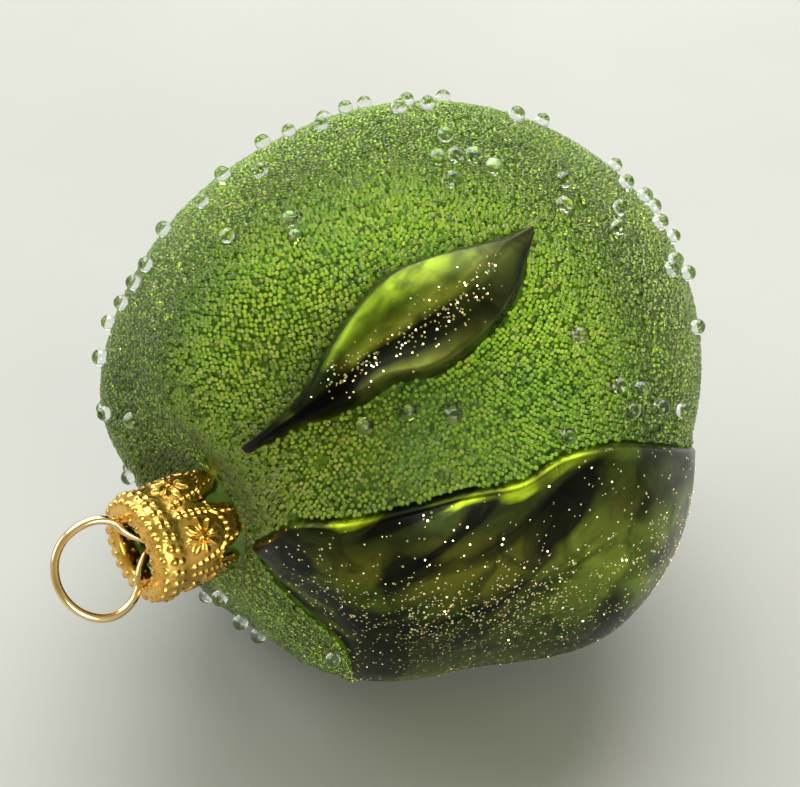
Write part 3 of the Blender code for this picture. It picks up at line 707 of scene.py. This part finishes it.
def lacquer_drift_group():
    """Slow change of the green lacquer over the body, from a deep tint to a clear one."""
    group, takes, leave = new_group(
        "lacquer_drift", {"From": "Float", "To": "Float", "Deep": "Color", "Clear": "Color"},
        {"Tint": "Color"},
    )
    drift = noise(group, object_coordinates(group), 55.0, 2.0, 0.4)
    share = map_range(group, drift, takes["From"], takes["To"])
    feed(group, leave, {"Tint": mix(group, share, takes["Deep"], takes["Clear"])})
    return group


lacquer_drift = lacquer_drift_group()
coat_skin = round_skin("coat_skin", 6, SKIN_LIFT)
# Painted shade: the same green lacquer as under the beads, painted several times darker, so the skin
# between the beads and in their gaps reads as shaded.
painted_gap_shade, tree, shader = new_material("skin_green_with_painted_gap_shade")
speck = noise(tree, object_coordinates(tree), 1400.0, 2.0)
fine = ramp(tree, speck, ((0.35, (0.05, 0.10, 0.005)), (0.65, (0.16, 0.28, 0.014))))
broad = use_group(tree, lacquer_drift, {
    "From": 0.35, "To": 0.65, "Deep": (0.50, 0.62, 0.75), "Clear": (1.0, 1.0, 0.8),
})["Tint"]
feed(tree, shader, {
    "Base Color": mix(tree, 1.0, fine, broad, "MULTIPLY"), "Metallic": 0.4, "Roughness": 0.42,
    "Normal": bump(tree, speck, 0.6, 0.0002),
})
coat_skin.data.materials.append(painted_gap_shade)


def hash_noise(points, scale, seed):
    """Smooth random field from a few seeded waves, mostly between -1 and 1."""
    source = random.Random(seed)
    total = np.zeros(len(points))
    for _ in range(9):
        wave = np.array([source.gauss(0.0, 1.0) for _ in range(3)]) * scale
        total += np.sin(points @ wave + source.uniform(0.0, 6.28))
    return total / 3.0


def leaf_gap(margins, d):
    """How far outside a leaf each direction lies, in mm, and negative inside it."""
    grid_s, grid_v = np.meshgrid(np.linspace(0, 1, 90), np.linspace(-1, 1, 25), indexing="ij")
    grid_s, grid_v = grid_s.reshape(-1), grid_v.reshape(-1)
    places, _ = leaf_places(margins, grid_s, grid_v)
    middle = unit(places.mean(axis=0))
    first = unit(np.cross(middle, (0.1, 0.2, 0.9)))
    second = np.cross(middle, first)

    def flat(q):
        away = np.arccos(np.clip(q @ middle, -1.0, 1.0))
        turn = np.arctan2(q @ second, q @ first)
        return np.stack([away * np.cos(turn), away * np.sin(turn)], axis=-1) * MEAN_RADIUS

    upper, lower = margins
    ring = flat(np.concatenate([lower, upper[::-1]]))
    spots = flat(d)
    inside = np.zeros(len(spots), bool)
    gap = np.full(len(spots), 99.0)
    for p, q in zip(ring, np.roll(ring, -1, axis=0)):
        rise = q[1] - p[1] if abs(q[1] - p[1]) > 1e-9 else 1e-9
        cross = p[0] + (spots[:, 1] - p[1]) * (q[0] - p[0]) / rise
        inside ^= ((p[1] > spots[:, 1]) != (q[1] > spots[:, 1])) & (spots[:, 0] < cross)
        edge = q - p
        t = np.clip(((spots - p) @ edge) / max(float(edge @ edge), 1e-12), 0.0, 1.0)
        gap = np.minimum(gap, np.linalg.norm(spots - p - t[:, None] * edge, axis=1))
    return np.where(inside, -gap, gap)


def on_ball(polar, turn):
    """Unit directions from their angle to +Z and their turn round it."""
    return np.stack([np.sin(polar) * np.cos(turn), np.sin(polar) * np.sin(turn), np.cos(polar)], axis=1)


def scatter(count, jitter, seed):
    """Directions spread evenly over the ball in a spiral, each pushed a little."""
    index = np.arange(count) + 0.5
    polar = np.arccos(1.0 - 2.0 * index / count)
    turn = math.pi * (1.0 + math.sqrt(5.0)) * index
    d = on_ball(polar, turn)
    push = np.random.default_rng(seed).normal(0.0, jitter, d.shape)
    return unit(d + push)


def copies(name, pattern, centres, normals, sizes, tones):
    """Many copies of a small pattern mesh as one piece, each stood on its normal."""
    local = points_of(pattern)
    loops = np.array([list(face.vertices) for face in pattern.data.polygons])
    slots = np.array([face.material_index for face in pattern.data.polygons])
    side = unit(np.cross(normals, (0.31, 0.52, 0.79)))
    third = np.cross(normals, side)
    axes = np.stack([side, third, normals], axis=1) * sizes[:, None, None]
    points = centres[:, None] + local @ axes
    count, corners = len(centres), loops.shape[1]
    faces = (loops[None] + (np.arange(count) * len(local))[:, None, None]).reshape(-1)
    mesh = bpy.data.meshes.new(name)
    mesh.vertices.add(count * len(local))
    mesh.vertices.foreach_set("co", world(points.reshape(-1, 3)).reshape(-1))
    mesh.loops.add(len(faces))
    mesh.loops.foreach_set("vertex_index", faces)
    mesh.polygons.add(len(faces) // corners)
    mesh.polygons.foreach_set("loop_start", np.arange(0, len(faces), corners))
    mesh.polygons.foreach_set("use_smooth", np.tile(slots == 0, count))
    mesh.polygons.foreach_set("material_index", np.tile(slots, count))
    mesh.update(calc_edges=True)
    tone = mesh.attributes.new("tone", "FLOAT", "POINT")
    tone.data.foreach_set("value", np.repeat(tones, len(local)))
    # Painted caustic: 1 under the middle of each bead's foot and 0 at its rim, to paint the light a bead
    # focuses.
    painted_caustic = mesh.attributes.new("painted_caustic", "FLOAT", "POINT")
    aside = np.hypot(local[:, 0], local[:, 1])
    painted_caustic.data.foreach_set("value", np.tile(1.0 - aside / aside.max(), count))
    return add_object(name, mesh)


def bead_pattern():
    """One bead of the crust: clear above, its foot wetted all round by the lacquer it sits in."""
    deselect()
    bpy.ops.mesh.primitive_uv_sphere_add(segments=8, ring_count=4, radius=1.0)
    item = bpy.context.object
    edit_all(item)
    bpy.ops.mesh.bisect(plane_co=(0, 0, -0.01), plane_no=(0, 0, 1), clear_inner=True)
    bpy.ops.mesh.select_all(action="SELECT")
    bpy.ops.mesh.remove_doubles(threshold=0.02)
    bpy.ops.object.mode_set(mode="OBJECT")
    co = points_of(item)
    polar = np.arccos(np.clip(co[:, 2], -1.0, 1.0)) * BEAD_WRAP
    turn = np.arctan2(co[:, 1], co[:, 0])
    set_points(item, on_ball(polar, turn))
    only(item)
    bpy.ops.object.mode_set(mode="EDIT")
    bpy.ops.mesh.select_all(action="DESELECT")
    bpy.ops.mesh.select_non_manifold(extend=False)
    bpy.ops.mesh.edge_face_add()
    bpy.ops.object.mode_set(mode="OBJECT")
    item.data.polygons[len(item.data.polygons) - 1].material_index = 1
    bpy.ops.object.mode_set(mode="EDIT")
    bpy.ops.mesh.select_mode(type="FACE")
    bpy.ops.mesh.poke()
    bpy.ops.mesh.select_mode(type="VERT")
    bpy.ops.mesh.select_all(action="SELECT")
    bpy.ops.mesh.normals_make_consistent(inside=False)
    bpy.ops.mesh.quads_convert_to_tris()
    bpy.ops.object.mode_set(mode="OBJECT")
    co = points_of(item)
    foot = (np.hypot(co[:, 0], co[:, 1]) < 0.1) & (co[:, 2] < 0.0)
    co[foot] = (0.0, 0.0, -BEAD_FOOT)
    set_points(item, co)
    return item


d = scatter(BEAD_COUNT, BEAD_PITCH * BEAD_JITTER / MEAN_RADIUS, COAT_SEED)
on_axis = d * body_radius(d)[:, None] - STEM
off_neck = np.linalg.norm(on_axis - np.outer(on_axis @ CAP_DIR, CAP_DIR), axis=1)
near_neck = (d @ CAP_DIR) > 0.5
small_gap = leaf_gap(small_margins, d)
large_gap = leaf_gap(large_margins, d)
patch_gap = np.arccos(np.clip(d @ seen_at(BARE_PATCH[0]), -1.0, 1.0)) * MEAN_RADIUS
pits = hash_noise(d, 7.0, 3) + hash_noise(d, 38.0, 4) > PIT_LEVEL
random_part = np.random.default_rng(COAT_SEED + 1)
missing = random_part.random(len(d)) < np.where(pits, PIT_SHARE, LOST_SHARE)
keep = (small_gap > -MARGIN_OVERLAP) & (large_gap > 0.0) & (patch_gap > BARE_PATCH[1]) & ~missing
keep &= ~(near_neck & (off_neck < NECK_CLEAR))
d = d[keep]
sizes = BEAD_SIZE * random_part.uniform(*SIZE_SHARE, len(d))
lift = random_part.normal(LIFT_MEAN, LIFT_SPREAD, len(d))
lift += MARGIN_RISE * np.exp(-((np.minimum(small_gap, large_gap)[keep] / MARGIN_REACH) ** 2))
tones = random_part.random(len(d))
centres = d * (body_radius(d) + lift)[:, None]
centres[:, 2] = np.maximum(centres[:, 2], -CENTRE_HEIGHT + sizes + 0.01)


def attribute(tree, name):
    return node(tree, "ShaderNodeAttribute", attribute_name=name).outputs["Fac"]


crust, tree, shader = new_material("bead_crust")
tone = attribute(tree, "tone")
each = ramp(tree, tone, (
    (0.0, (0.74, 0.92, 0.28)), (0.5, (0.91, 1.0, 0.40)), (1.0, (1.0, 1.0, 0.70)),
))
feed(tree, shader, {
    "Base Color": each, "Transmission Weight": 1.0, "Roughness": 0.05, "IOR": 1.5,
    "Coat Weight": 0.3, "Coat Roughness": 0.04,
})

lacquer, tree, shader = new_material("lacquer_under_beads_and_painted_light")
tone = attribute(tree, "tone")
fine = ramp(tree, tone, (
    (0.0, (0.18, 0.32, 0.008)), (0.15, (0.46, 0.78, 0.012)), (0.45, (0.66, 1.0, 0.02)),
    (0.8, (0.74, 1.0, 0.04)), (1.0, (0.86, 1.0, 0.14)),
))
broad = use_group(tree, lacquer_drift, {
    "From": 0.36, "To": 0.58, "Deep": (0.66, 0.80, 0.85), "Clear": (1.0, 1.0, 0.8),
})["Tint"]
# Painted shade: the lacquer is darkened and dulled round a hollow between the leaves.
hollow = node(tree, "ShaderNodeVectorMath", operation="DISTANCE")
hollow_at = tuple(world(seen_at(SHADED_HOLLOW) * MEAN_RADIUS))
feed(tree, hollow, {0: object_coordinates(tree), 1: hollow_at})
clear = map_range(tree, hollow.outputs["Value"], HOLLOW_REACH[0] * MM, HOLLOW_REACH[1] * MM)
hollow_shade = mix(tree, clear, (0.58, 0.52, 0.60), (1.0, 1.0, 1.0))
broad = mix(tree, 1.0, broad, hollow_shade, "MULTIPLY")
# Painted caustic: under each bead the lacquer is painted dark towards the rim of its foot and fully bright
# under its middle, as light focused by the bead.
painted_caustic = attribute(tree, "painted_caustic")
painted_caustic_spot = ramp(tree, painted_caustic, (
    (0.0, (0.26, 0.30, 0.26)), (0.30, (0.85, 0.90, 0.85)), (0.5, (1.0, 1.0, 1.0)),
))
lit = mix(tree, 1.0, mix(tree, 1.0, fine, broad, "MULTIPLY"), painted_caustic_spot, "MULTIPLY")
feed(tree, shader, {"Base Color": lit, "Metallic": 0.0, "Roughness": 0.42})

dome = bead_pattern()
order = np.argsort(d[:, 0])
for index, share in enumerate(np.array_split(order, COAT_PIECES)):
    crust_piece = copies(
        f"bead_crust_{index + 1}", dome, centres[share], d[share], sizes[share], tones[share]
    )
    crust_piece.data.materials.append(crust)
    crust_piece.data.materials.append(lacquer)
    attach(crust_piece, BODY)
    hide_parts("bead_coat")
bpy.data.objects.remove(dome, do_unlink=True)
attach(coat_skin, BODY)
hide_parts("bead_coat")


# Large beads. Round clear glass beads 1.7 to 2 mm across, glued on among the small
# ones, singly and in loose clusters. They sit almost whole on the crust and bend the
# green behind them.

LARGE_BEAD_RADIUS = 1.0
LARGE_BEAD_LIFT = 0.8
BEAD_SPACING = 2.05
BACK_BEADS = 34
BEAD_SEED = 12
BEAD_TRIES = 4000
LEAF_CLEAR = 0.45
REST_CLEAR_DEG = 24.0
STEM_CLEAR_DEG = 22.0
BALL_RADIUS = 33.5
# Pixels at which the large beads are seen.
FRONT_BEADS = (
    (98, 409), (107, 358), (116, 324), (123, 303), (135, 283), (147, 265),
    (165, 230), (203, 202), (224, 176), (263, 143), (290, 134), (322, 112),
    (345, 106), (364, 100), (407, 100), (427, 109), (443, 97), (519, 109),
    (541, 123), (615, 165), (624, 184), (638, 201), (655, 205), (660, 222),
    (672, 237), (680, 258), (688, 273), (666, 271), (701, 326), (120, 480),
    (216, 588), (213, 606), (238, 626), (258, 636), (333, 660), (361, 670),
    (229, 237), (292, 222), (299, 240), (261, 172), (322, 128), (399, 112),
    (445, 138), (438, 159), (455, 157), (473, 157), (452, 181), (493, 168),
    (563, 182), (563, 206), (617, 210), (616, 229), (578, 336), (617, 386),
    (637, 389), (628, 410), (655, 407), (675, 410), (365, 426), (408, 412),
    (453, 415), (120, 412), (137, 420), (567, 436),
)


def large_bead_places():
    """The front beads as seen, then seeded ones on the hidden side, none touching."""
    source = random.Random(BEAD_SEED)
    front = [seen_at(p, 0.6) for p in FRONT_BEADS]
    for index, place in enumerate(front):
        if float(place @ VIEW_BACK) < 0.2:
            front[index] = unit(place + VIEW_BACK * (index * 7 % 11 - 6) * 0.03)
    tries = []
    for _ in range(BEAD_TRIES):
        z = source.uniform(-1.0, 1.0)
        turn = source.uniform(0.0, 2.0 * math.pi)
        flat = math.sqrt(1.0 - z * z)
        tries.append(np.array((flat * math.cos(turn), flat * math.sin(turn), z)))
    hidden = [t for t in tries if float(t @ VIEW_BACK) < -0.12]
    both = np.array(front + hidden)
    near_leaf = np.minimum(
        leaf_gap(small_margins, both), leaf_gap(large_margins, both)
    ) < LARGE_BEAD_RADIUS + LEAF_CLEAR
    chosen = []
    for place, blocked in zip(both, near_leaf):
        if len(chosen) >= len(front) + BACK_BEADS:
            break
        if blocked or -place[2] > math.cos(math.radians(REST_CLEAR_DEG)):
            continue
        if float(place @ STEM_DIR) > math.cos(math.radians(STEM_CLEAR_DEG)):
            continue
        if all(np.linalg.norm(place - other) * BALL_RADIUS >= BEAD_SPACING for other in chosen):
            chosen.append(place)
    return np.array(chosen)


deselect()
bpy.ops.mesh.primitive_ico_sphere_add(subdivisions=3, radius=1.0)
ball = bpy.context.object
places = large_bead_places()
random_part = np.random.default_rng(BEAD_SEED)
large_beads = copies(
    "large_beads", ball, places * (body_radius(places) + LARGE_BEAD_LIFT)[:, None], places,
    LARGE_BEAD_RADIUS * random_part.uniform(0.86, 1.0, len(places)), random_part.random(len(places)),
)
bpy.data.objects.remove(ball, do_unlink=True)
clear_glass, tree, shader = new_material("clear_bead_glass")
tone = attribute(tree, "tone")
tint = ramp(tree, tone, ((0.0, (0.90, 0.97, 0.90)), (1.0, (1.0, 1.0, 1.0))))
feed(tree, shader, {"Base Color": tint, "Transmission Weight": 1.0, "Roughness": 0.02, "IOR": 1.48})
large_beads.data.materials.append(clear_glass)
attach(large_beads, BODY)
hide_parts("bead_coat")


# Crown cap. Thin brass sheet stamped and gilded: a rounded end with a large hole, rows
# of raised dots round it, and petals parted by slits that hug the glass neck, each
# with an eight-rayed star and a dotted border.

CAP_LENGTH = 10.9
CAP_HOLE = 3.3
CAP_SHEET = 0.3
SKIRT_END = -0.4
PETALS = 5
SLOT_TURN = 31.8
SLOT_DEPTH = 4.6
SLOT_WIDTH = 2.4
SKIRT_RADIUS = 6.0
SCALLOP_DEPTH = 1.3
SCALLOP_FROM = 9.0
EDGE_TUCK = 0.25
TUCK_FROM = 10.5
CAP_STEPS = 300
CAP_OUTLINE = (
    (CAP_LENGTH - 0.75, CAP_HOLE), (CAP_LENGTH - 0.35, 3.4), (CAP_LENGTH - 0.1, 3.75),
    (CAP_LENGTH, 4.3), (CAP_LENGTH - 0.05, 5.0), (CAP_LENGTH - 0.3, 5.6),
    (CAP_LENGTH - 0.8, 6.1), (CAP_LENGTH - 1.5, 6.35), (CAP_LENGTH - 2.4, 6.3),
    (CAP_LENGTH - 3.6, 6.15), (CAP_LENGTH - 5.6, 6.15), (CAP_LENGTH - 7.6, 6.05),
    (CAP_LENGTH - 9.4, 5.95), (SKIRT_END, 5.9),
)
# Rows of dots: distance down the outline, number, size, height, in mm.
DOT_ROWS = (
    (1.35, 20, 0.42, 0.30), (3.05, 26, 0.46, 0.34), (4.35, 26, 0.42, 0.28), (5.3, 26, 0.36, 0.18),
)
STAR_AT = 8.6
STAR_REACH = 2.35
STAR_EYE = 0.35
STAR_RISE = 0.34
STAR_RAYS = 8
RAY_WIDTH = 0.72
BUTTON_SIZE = 0.38
BUTTON_RISE = 0.22
BORDER_DOT = 0.36
BORDER_RISE = 0.24
BORDER_PITCH = 0.82
BORDER_INSET = 0.62
BORDER_FROM = 6.4
BORDER_TAPER = 0.16
TAPER_FROM = 7.0
FOOT_ROW = 12.15
FOOT_CURVE = 1.1
FOOT_PITCH = 0.85


def dot(distance, size):
    """Height of a round dot, 1 in the middle."""
    return np.sqrt(np.clip(1.0 - (distance / size) ** 2, 0.0, 1.0))


def petal_place(turn):
    """Place across the petal, from -0.5 at one slit to 0.5 at the next."""
    return ((turn - math.radians(SLOT_TURN)) * PETALS / (2.0 * math.pi)) % 1.0 - 0.5


def stamped_height(run, turn, radius):
    """Height of the stamped relief by distance down the outline and angle round it."""
    height = np.zeros_like(run)
    for row, count, size, rise in DOT_ROWS:
        step = 2.0 * math.pi / count
        aside = (turn / step + 0.25 * row) % 1.0 - 0.5
        height = np.maximum(height, rise * dot(np.hypot(aside * step * radius, run - row), size))
    span = 2.0 * math.pi / PETALS
    local = petal_place(turn)
    x = local * span * radius
    y = run - STAR_AT
    reach = np.hypot(x, y)
    around = np.arctan2(y, x)
    ray = np.abs((around / (2.0 * math.pi / STAR_RAYS) + 0.5) % 1.0 - 0.5) * 2.0
    lens = np.sin(np.clip((reach - STAR_EYE) / (STAR_REACH - STAR_EYE), 0.0, 1.0) * math.pi)
    star = np.clip(1.0 - (ray / np.maximum(RAY_WIDTH * lens, 0.02)) ** 2, 0.0, 1.0)
    height = np.maximum(height, STAR_RISE * np.sqrt(star) * (reach < STAR_REACH))
    height = np.maximum(height, BUTTON_RISE * dot(reach, BUTTON_SIZE))
    border = span * radius / 2.0 - BORDER_INSET - np.clip(run - TAPER_FROM, 0.0, 9.0) * BORDER_TAPER
    for side in (-1.0, 1.0):
        beat = (run / BORDER_PITCH) % 1.0 - 0.5
        away = np.hypot(x - side * border, beat * BORDER_PITCH)
        height = np.maximum(height, BORDER_RISE * dot(away, BORDER_DOT) * (run > BORDER_FROM))
    foot = FOOT_ROW - FOOT_CURVE * (1.0 - np.cos(local * math.pi) ** 2)
    beat = (x / FOOT_PITCH) % 1.0 - 0.5
    away = np.hypot(beat * FOOT_PITCH, run - foot)
    return np.maximum(height, BORDER_RISE * dot(away, BORDER_DOT))


outline = np.array(CAP_OUTLINE)
run_at = np.concatenate([[0.0], np.cumsum(np.linalg.norm(np.diff(outline, axis=0), axis=1))])
run = np.linspace(0.0, run_at[-1], 96)
along = curve_through(run_at, outline[:, 0], run)
radius = curve_through(run_at, outline[:, 1], run)
crown_cap = turned("crown_cap", list(zip(along, radius)), CAP_STEPS, closed=False)
edit_all(crown_cap)
bpy.ops.mesh.normals_make_consistent(inside=False)
bpy.ops.mesh.select_mode(type="FACE")
bpy.ops.mesh.select_all(action="DESELECT")
bpy.ops.object.mode_set(mode="OBJECT")
middles = np.array([face.center[:] for face in crown_cap.data.polygons])
across = petal_place(np.arctan2(middles[:, 1], middles[:, 0]))
in_slit = (np.abs(across) > 0.5 - 0.5 * PETALS / CAP_STEPS) & (middles[:, 2] < SKIRT_END + SLOT_DEPTH)
crown_cap.data.polygons.foreach_set("select", in_slit)
bpy.ops.object.mode_set(mode="EDIT")
bpy.ops.mesh.delete(type="FACE")
bpy.ops.object.mode_set(mode="OBJECT")
co = points_of(crown_cap)
turn = np.arctan2(co[:, 1], co[:, 0])
ring_radius = np.hypot(co[:, 0], co[:, 1])
nearest = np.argmin(
    (co[:, 2][:, None] - along[None]) ** 2 + (ring_radius[:, None] - radius[None]) ** 2, axis=1
)
here_run = run[nearest]
height = stamped_height(here_run, turn, ring_radius)
out_radius = ring_radius - np.gradient(along, run)[nearest] * height
out_along = co[:, 2] + np.gradient(radius, run)[nearest] * height
across = petal_place(turn)
open_part = smooth(SKIRT_END + SLOT_DEPTH - co[:, 2], -0.1, SLOT_DEPTH + 0.8)
turn = turn - 2.0 * across * open_part * SLOT_WIDTH * 0.5 / SKIRT_RADIUS
scallop = SCALLOP_DEPTH * (1.0 - np.cos(across * math.pi))
out_along = out_along + scallop * smooth(here_run, SCALLOP_FROM, run_at[-1])
out_radius = out_radius - EDGE_TUCK * smooth(here_run, TUCK_FROM, run_at[-1])
set_points(crown_cap, np.stack([np.cos(turn) * out_radius, np.sin(turn) * out_radius, out_along], axis=1))
sheet = crown_cap.modifiers.new("sheet", "SOLIDIFY")
sheet.thickness = CAP_SHEET
sheet.offset = -1.0
only(crown_cap)
bpy.ops.object.modifier_apply(modifier="sheet")
on_cap_axis(crown_cap)
face_out(crown_cap, CREASE_DEG)


def gold_film_group():
    """Thin gold: clouds from a deep tone to a bright one, and rubbed spots that shine more."""
    group, takes, leave = new_group(
        "gold_film",
        {
            "Cloud Scale": "Float", "Cloud Detail": "Float", "Rub Scale": "Float",
            "Smoothest": "Float", "Dullest": "Float", "Deep": "Color", "Bright": "Color",
        },
        {"Gold": "Color", "Roughness": "Float", "Rub": "Float"},
    )
    cloud = noise(group, object_coordinates(group), takes["Cloud Scale"], takes["Cloud Detail"])
    rub = noise(group, object_coordinates(group), takes["Rub Scale"], 2.0)
    feed(group, leave, {
        "Gold": mix(group, map_range(group, cloud, 0.3, 0.7), takes["Deep"], takes["Bright"]),
        "Roughness": map_range(group, rub, 0.3, 0.7, takes["Smoothest"], takes["Dullest"]),
        "Rub": rub,
    })
    return group


gold_film = gold_film_group()
gilding, tree, shader = new_material("stamped_gilding")
film = use_group(tree, gold_film, {
    "Cloud Scale": 420.0, "Cloud Detail": 3.0, "Rub Scale": 1500.0, "Smoothest": 0.16, "Dullest": 0.32,
    "Deep": (0.70, 0.38, 0.07), "Bright": (0.92, 0.58, 0.14),
})
feed(tree, shader, {
    "Base Color": film["Gold"], "Metallic": 1.0, "Roughness": film["Roughness"],
    "Normal": bump(tree, film["Rub"], 0.25, 0.0001),
})
crown_cap.data.materials.append(gilding)
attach(crown_cap, BODY)
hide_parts("cap")


# Hanging ring. One length of round gold wire bent to a loop; its two ends cross in the
# cap's hole and spread inside the neck, which holds the cap on.

WIRE_RADIUS = 0.5
LOOP_RADIUS = 5.3
LOOP_OFFSET = 4.4
LOOP_DROP = 0.3
LOOP_OPEN = 132
LOOP_FACING = (0.687, -0.727)
LEG_ASIDE = 0.66
LEG_POINTS = (
    (0.2, 2.7), (-0.6, 1.75), (-1.5, 0.95), (-2.6, 0.2), (-4.2, -1.0), (-5.8, -2.1),
    (-7.3, -2.95), (-9.0, -3.2), (-11.6, -3.2),
)
loop_plane = unit(LOOP_FACING[0] * CAP_UP + LOOP_FACING[1] * CAP_SIDE)
loop_normal = np.cross(CAP_DIR, loop_plane)
leg = [(CAP_LENGTH + a, b, -LEG_ASIDE * float(1.0 - smooth(-a, 3.5, 7.5))) for a, b in LEG_POINTS]
route = [(a, -b, -c) for a, b, c in reversed(leg)]
for degrees in range(-LOOP_OPEN, LOOP_OPEN + 1, 12):
    angle = math.radians(degrees)
    shift = LEG_ASIDE * (1.0 - smooth(degrees, -LOOP_OPEN, -30.0) - smooth(degrees, 30.0, LOOP_OPEN))
    sag = LOOP_DROP * smooth(math.cos(angle), -0.7, 0.3)
    route.append((
        CAP_LENGTH + LOOP_OFFSET + LOOP_RADIUS * math.cos(angle),
        LOOP_RADIUS * math.sin(angle) + sag,
        float(shift),
    ))
route += leg
path = np.array([STEM + CAP_DIR * a + loop_plane * b + loop_normal * c for a, b, c in route])
path = world(resample(path, 240))
wire_curve = bpy.data.curves.new("hanger_wire", "CURVE")
wire_curve.dimensions = "3D"
wire_curve.bevel_depth = WIRE_RADIUS * MM
wire_curve.bevel_resolution = 6
wire_curve.use_fill_caps = True
spline = wire_curve.splines.new("POLY")
spline.points.add(len(path) - 1)
for point, place in zip(spline.points, path):
    point.co = (*place, 1.0)
only(add_object("hanger_wire", wire_curve))
bpy.ops.object.convert(target="MESH")
hanger_wire = bpy.context.object
face_out(hanger_wire, CREASE_DEG)
polish, tree, shader = new_material("polished_gold_wire")
film = use_group(tree, gold_film, {
    "Cloud Scale": 300.0, "Cloud Detail": 2.0, "Rub Scale": 300.0, "Smoothest": 0.07, "Dullest": 0.16,
    "Deep": (0.80, 0.52, 0.24), "Bright": (0.95, 0.70, 0.38),
})
feed(tree, shader, {"Base Color": film["Gold"], "Metallic": 1.0, "Roughness": film["Roughness"]})
hanger_wire.data.materials.append(polish)
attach(hanger_wire, BODY)
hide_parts("hanger_ring")


# Glitter. Fine flat flecks strewn on the wet lacquer, thickest along the lower half of
# each leaf, each lying at its own slight angle so that some flash and most stay dark.

FLECK_SEED = 21
FLECKS_LARGE = 2500
FLECKS_SMALL = 240
FLECK_SIZE = 0.115
FLECK_LIFT = 0.03
FLECK_TILT = 0.22
FLECK_TRIES = 20
FLECK_STEP = 0.004
# Bands of flecks: share, start and end pixel, reach in pixels.
LARGE_BANDS = (
    (0.8, (440, 622), (550, 608), 36.0), (0.16, (320, 585), (430, 630), 26.0),
    (0.5, (545, 610), (665, 555), 36.0),
)
SMALL_BANDS = (
    (0.9, (345, 375), (450, 310), 15.0), (0.55, (450, 310), (487, 272), 16.0),
    (0.25, (318, 395), (345, 375), 12.0),
)
LARGE_EVEN = 0.05
SMALL_EVEN = 0.0


def to_pixel(points):
    """Pixel of the photograph's frame at which each point, in mm from the centre, is seen."""
    near = VIEW_DISTANCE / (VIEW_DISTANCE - points @ VIEW_BACK) * PIXELS_PER_MM
    return VIEW_CENTRE[0] + points @ VIEW_RIGHT * near, VIEW_CENTRE[1] - points @ VIEW_UP * near


def band(x, y, start, end, reach):
    """Density of flecks round a line between two pixels."""
    start, end = np.array(start, float), np.array(end, float)
    edge = end - start
    t = np.clip(((x - start[0]) * edge[0] + (y - start[1]) * edge[1]) / float(edge @ edge), 0.0, 1.0)
    away = np.hypot(x - start[0] - t * edge[0], y - start[1] - t * edge[1])
    return np.exp(-((away / reach) ** 2))


def on_leaf(margins, form, length, s, v, width=None):
    """Direction, leaf width and place of flecks on a leaf's surface."""
    d, own_width = leaf_places(margins, s, v)
    width = own_width if width is None else width
    height = leaf_height(form, s, v, width, length)
    return d, width, d * (body_radius(d) + height + FLECK_LIFT)[:, None]


def flecks(leaf, count, seed, bands, even):
    """Places and tilted normals of flecks, thick along the bands and thin on the far side."""
    source = np.random.default_rng(seed)
    s = source.uniform(0.03, 0.97, count * FLECK_TRIES)
    v = source.uniform(-0.97, 0.97, count * FLECK_TRIES)
    d, width, points = on_leaf(*leaf, s, v)
    x, y = to_pixel(points)
    dense = sum(share * band(x, y, start, end, reach) for share, start, end, reach in bands)
    seen = np.clip(dense + even, 0.0, 1.0)
    hidden = points @ VIEW_BACK < 2.0
    chance = np.where(hidden, 0.25 * np.exp(-((v / 0.5) ** 2)), seen) * width / width.max()
    taken = np.nonzero(source.random(len(s)) < chance)[0][:count]
    s, v, d, width, points = s[taken], v[taken], d[taken], width[taken], points[taken]
    ahead = on_leaf(*leaf, s + FLECK_STEP, v, width)[2] - points
    aside = on_leaf(*leaf, s, v + FLECK_STEP, width)[2] - points
    normal = unit(np.cross(ahead, aside))
    normal *= np.sign((normal * d).sum(axis=1))[:, None]
    return points, unit(normal + source.normal(0.0, FLECK_TILT, normal.shape))


deselect()
bpy.ops.mesh.primitive_cylinder_add(vertices=6, radius=1.0, depth=0.25, end_fill_type="TRIFAN")
fleck = bpy.context.object
edit_all(fleck)
bpy.ops.mesh.quads_convert_to_tris()
bpy.ops.object.mode_set(mode="OBJECT")
large_flecks = flecks(
    (large_margins, LARGE_FORM, LARGE_LENGTH), FLECKS_LARGE, FLECK_SEED, LARGE_BANDS, LARGE_EVEN
)
small_flecks = flecks(
    (small_margins, SMALL_FORM, SMALL_LENGTH), FLECKS_SMALL, FLECK_SEED + 1, SMALL_BANDS, SMALL_EVEN
)
random_part = np.random.default_rng(FLECK_SEED + 2)
places, normals = (np.concatenate(pair) for pair in zip(large_flecks, small_flecks))
glitter = copies(
    "glitter", fleck, places, normals, FLECK_SIZE * random_part.uniform(0.7, 1.3, len(places)),
    random_part.random(len(places)),
)
bpy.data.objects.remove(fleck, do_unlink=True)
flash, tree, shader = new_material("glitter_flash")
tone = attribute(tree, "tone")
colour = ramp(tree, tone, (
    (0.0, (0.95, 0.72, 0.22)), (0.60, (1.0, 0.92, 0.55)), (0.80, (0.95, 0.95, 0.85)),
    (0.88, (0.75, 0.35, 0.15)), (1.0, (0.2, 0.65, 0.4)),
))
feed(tree, shader, {"Base Color": colour, "Metallic": 1.0, "Roughness": 0.2})
glitter.data.materials.append(flash)
only(glitter)
bpy.ops.object.shade_flat()
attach(glitter, BODY)
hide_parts("glass_body")
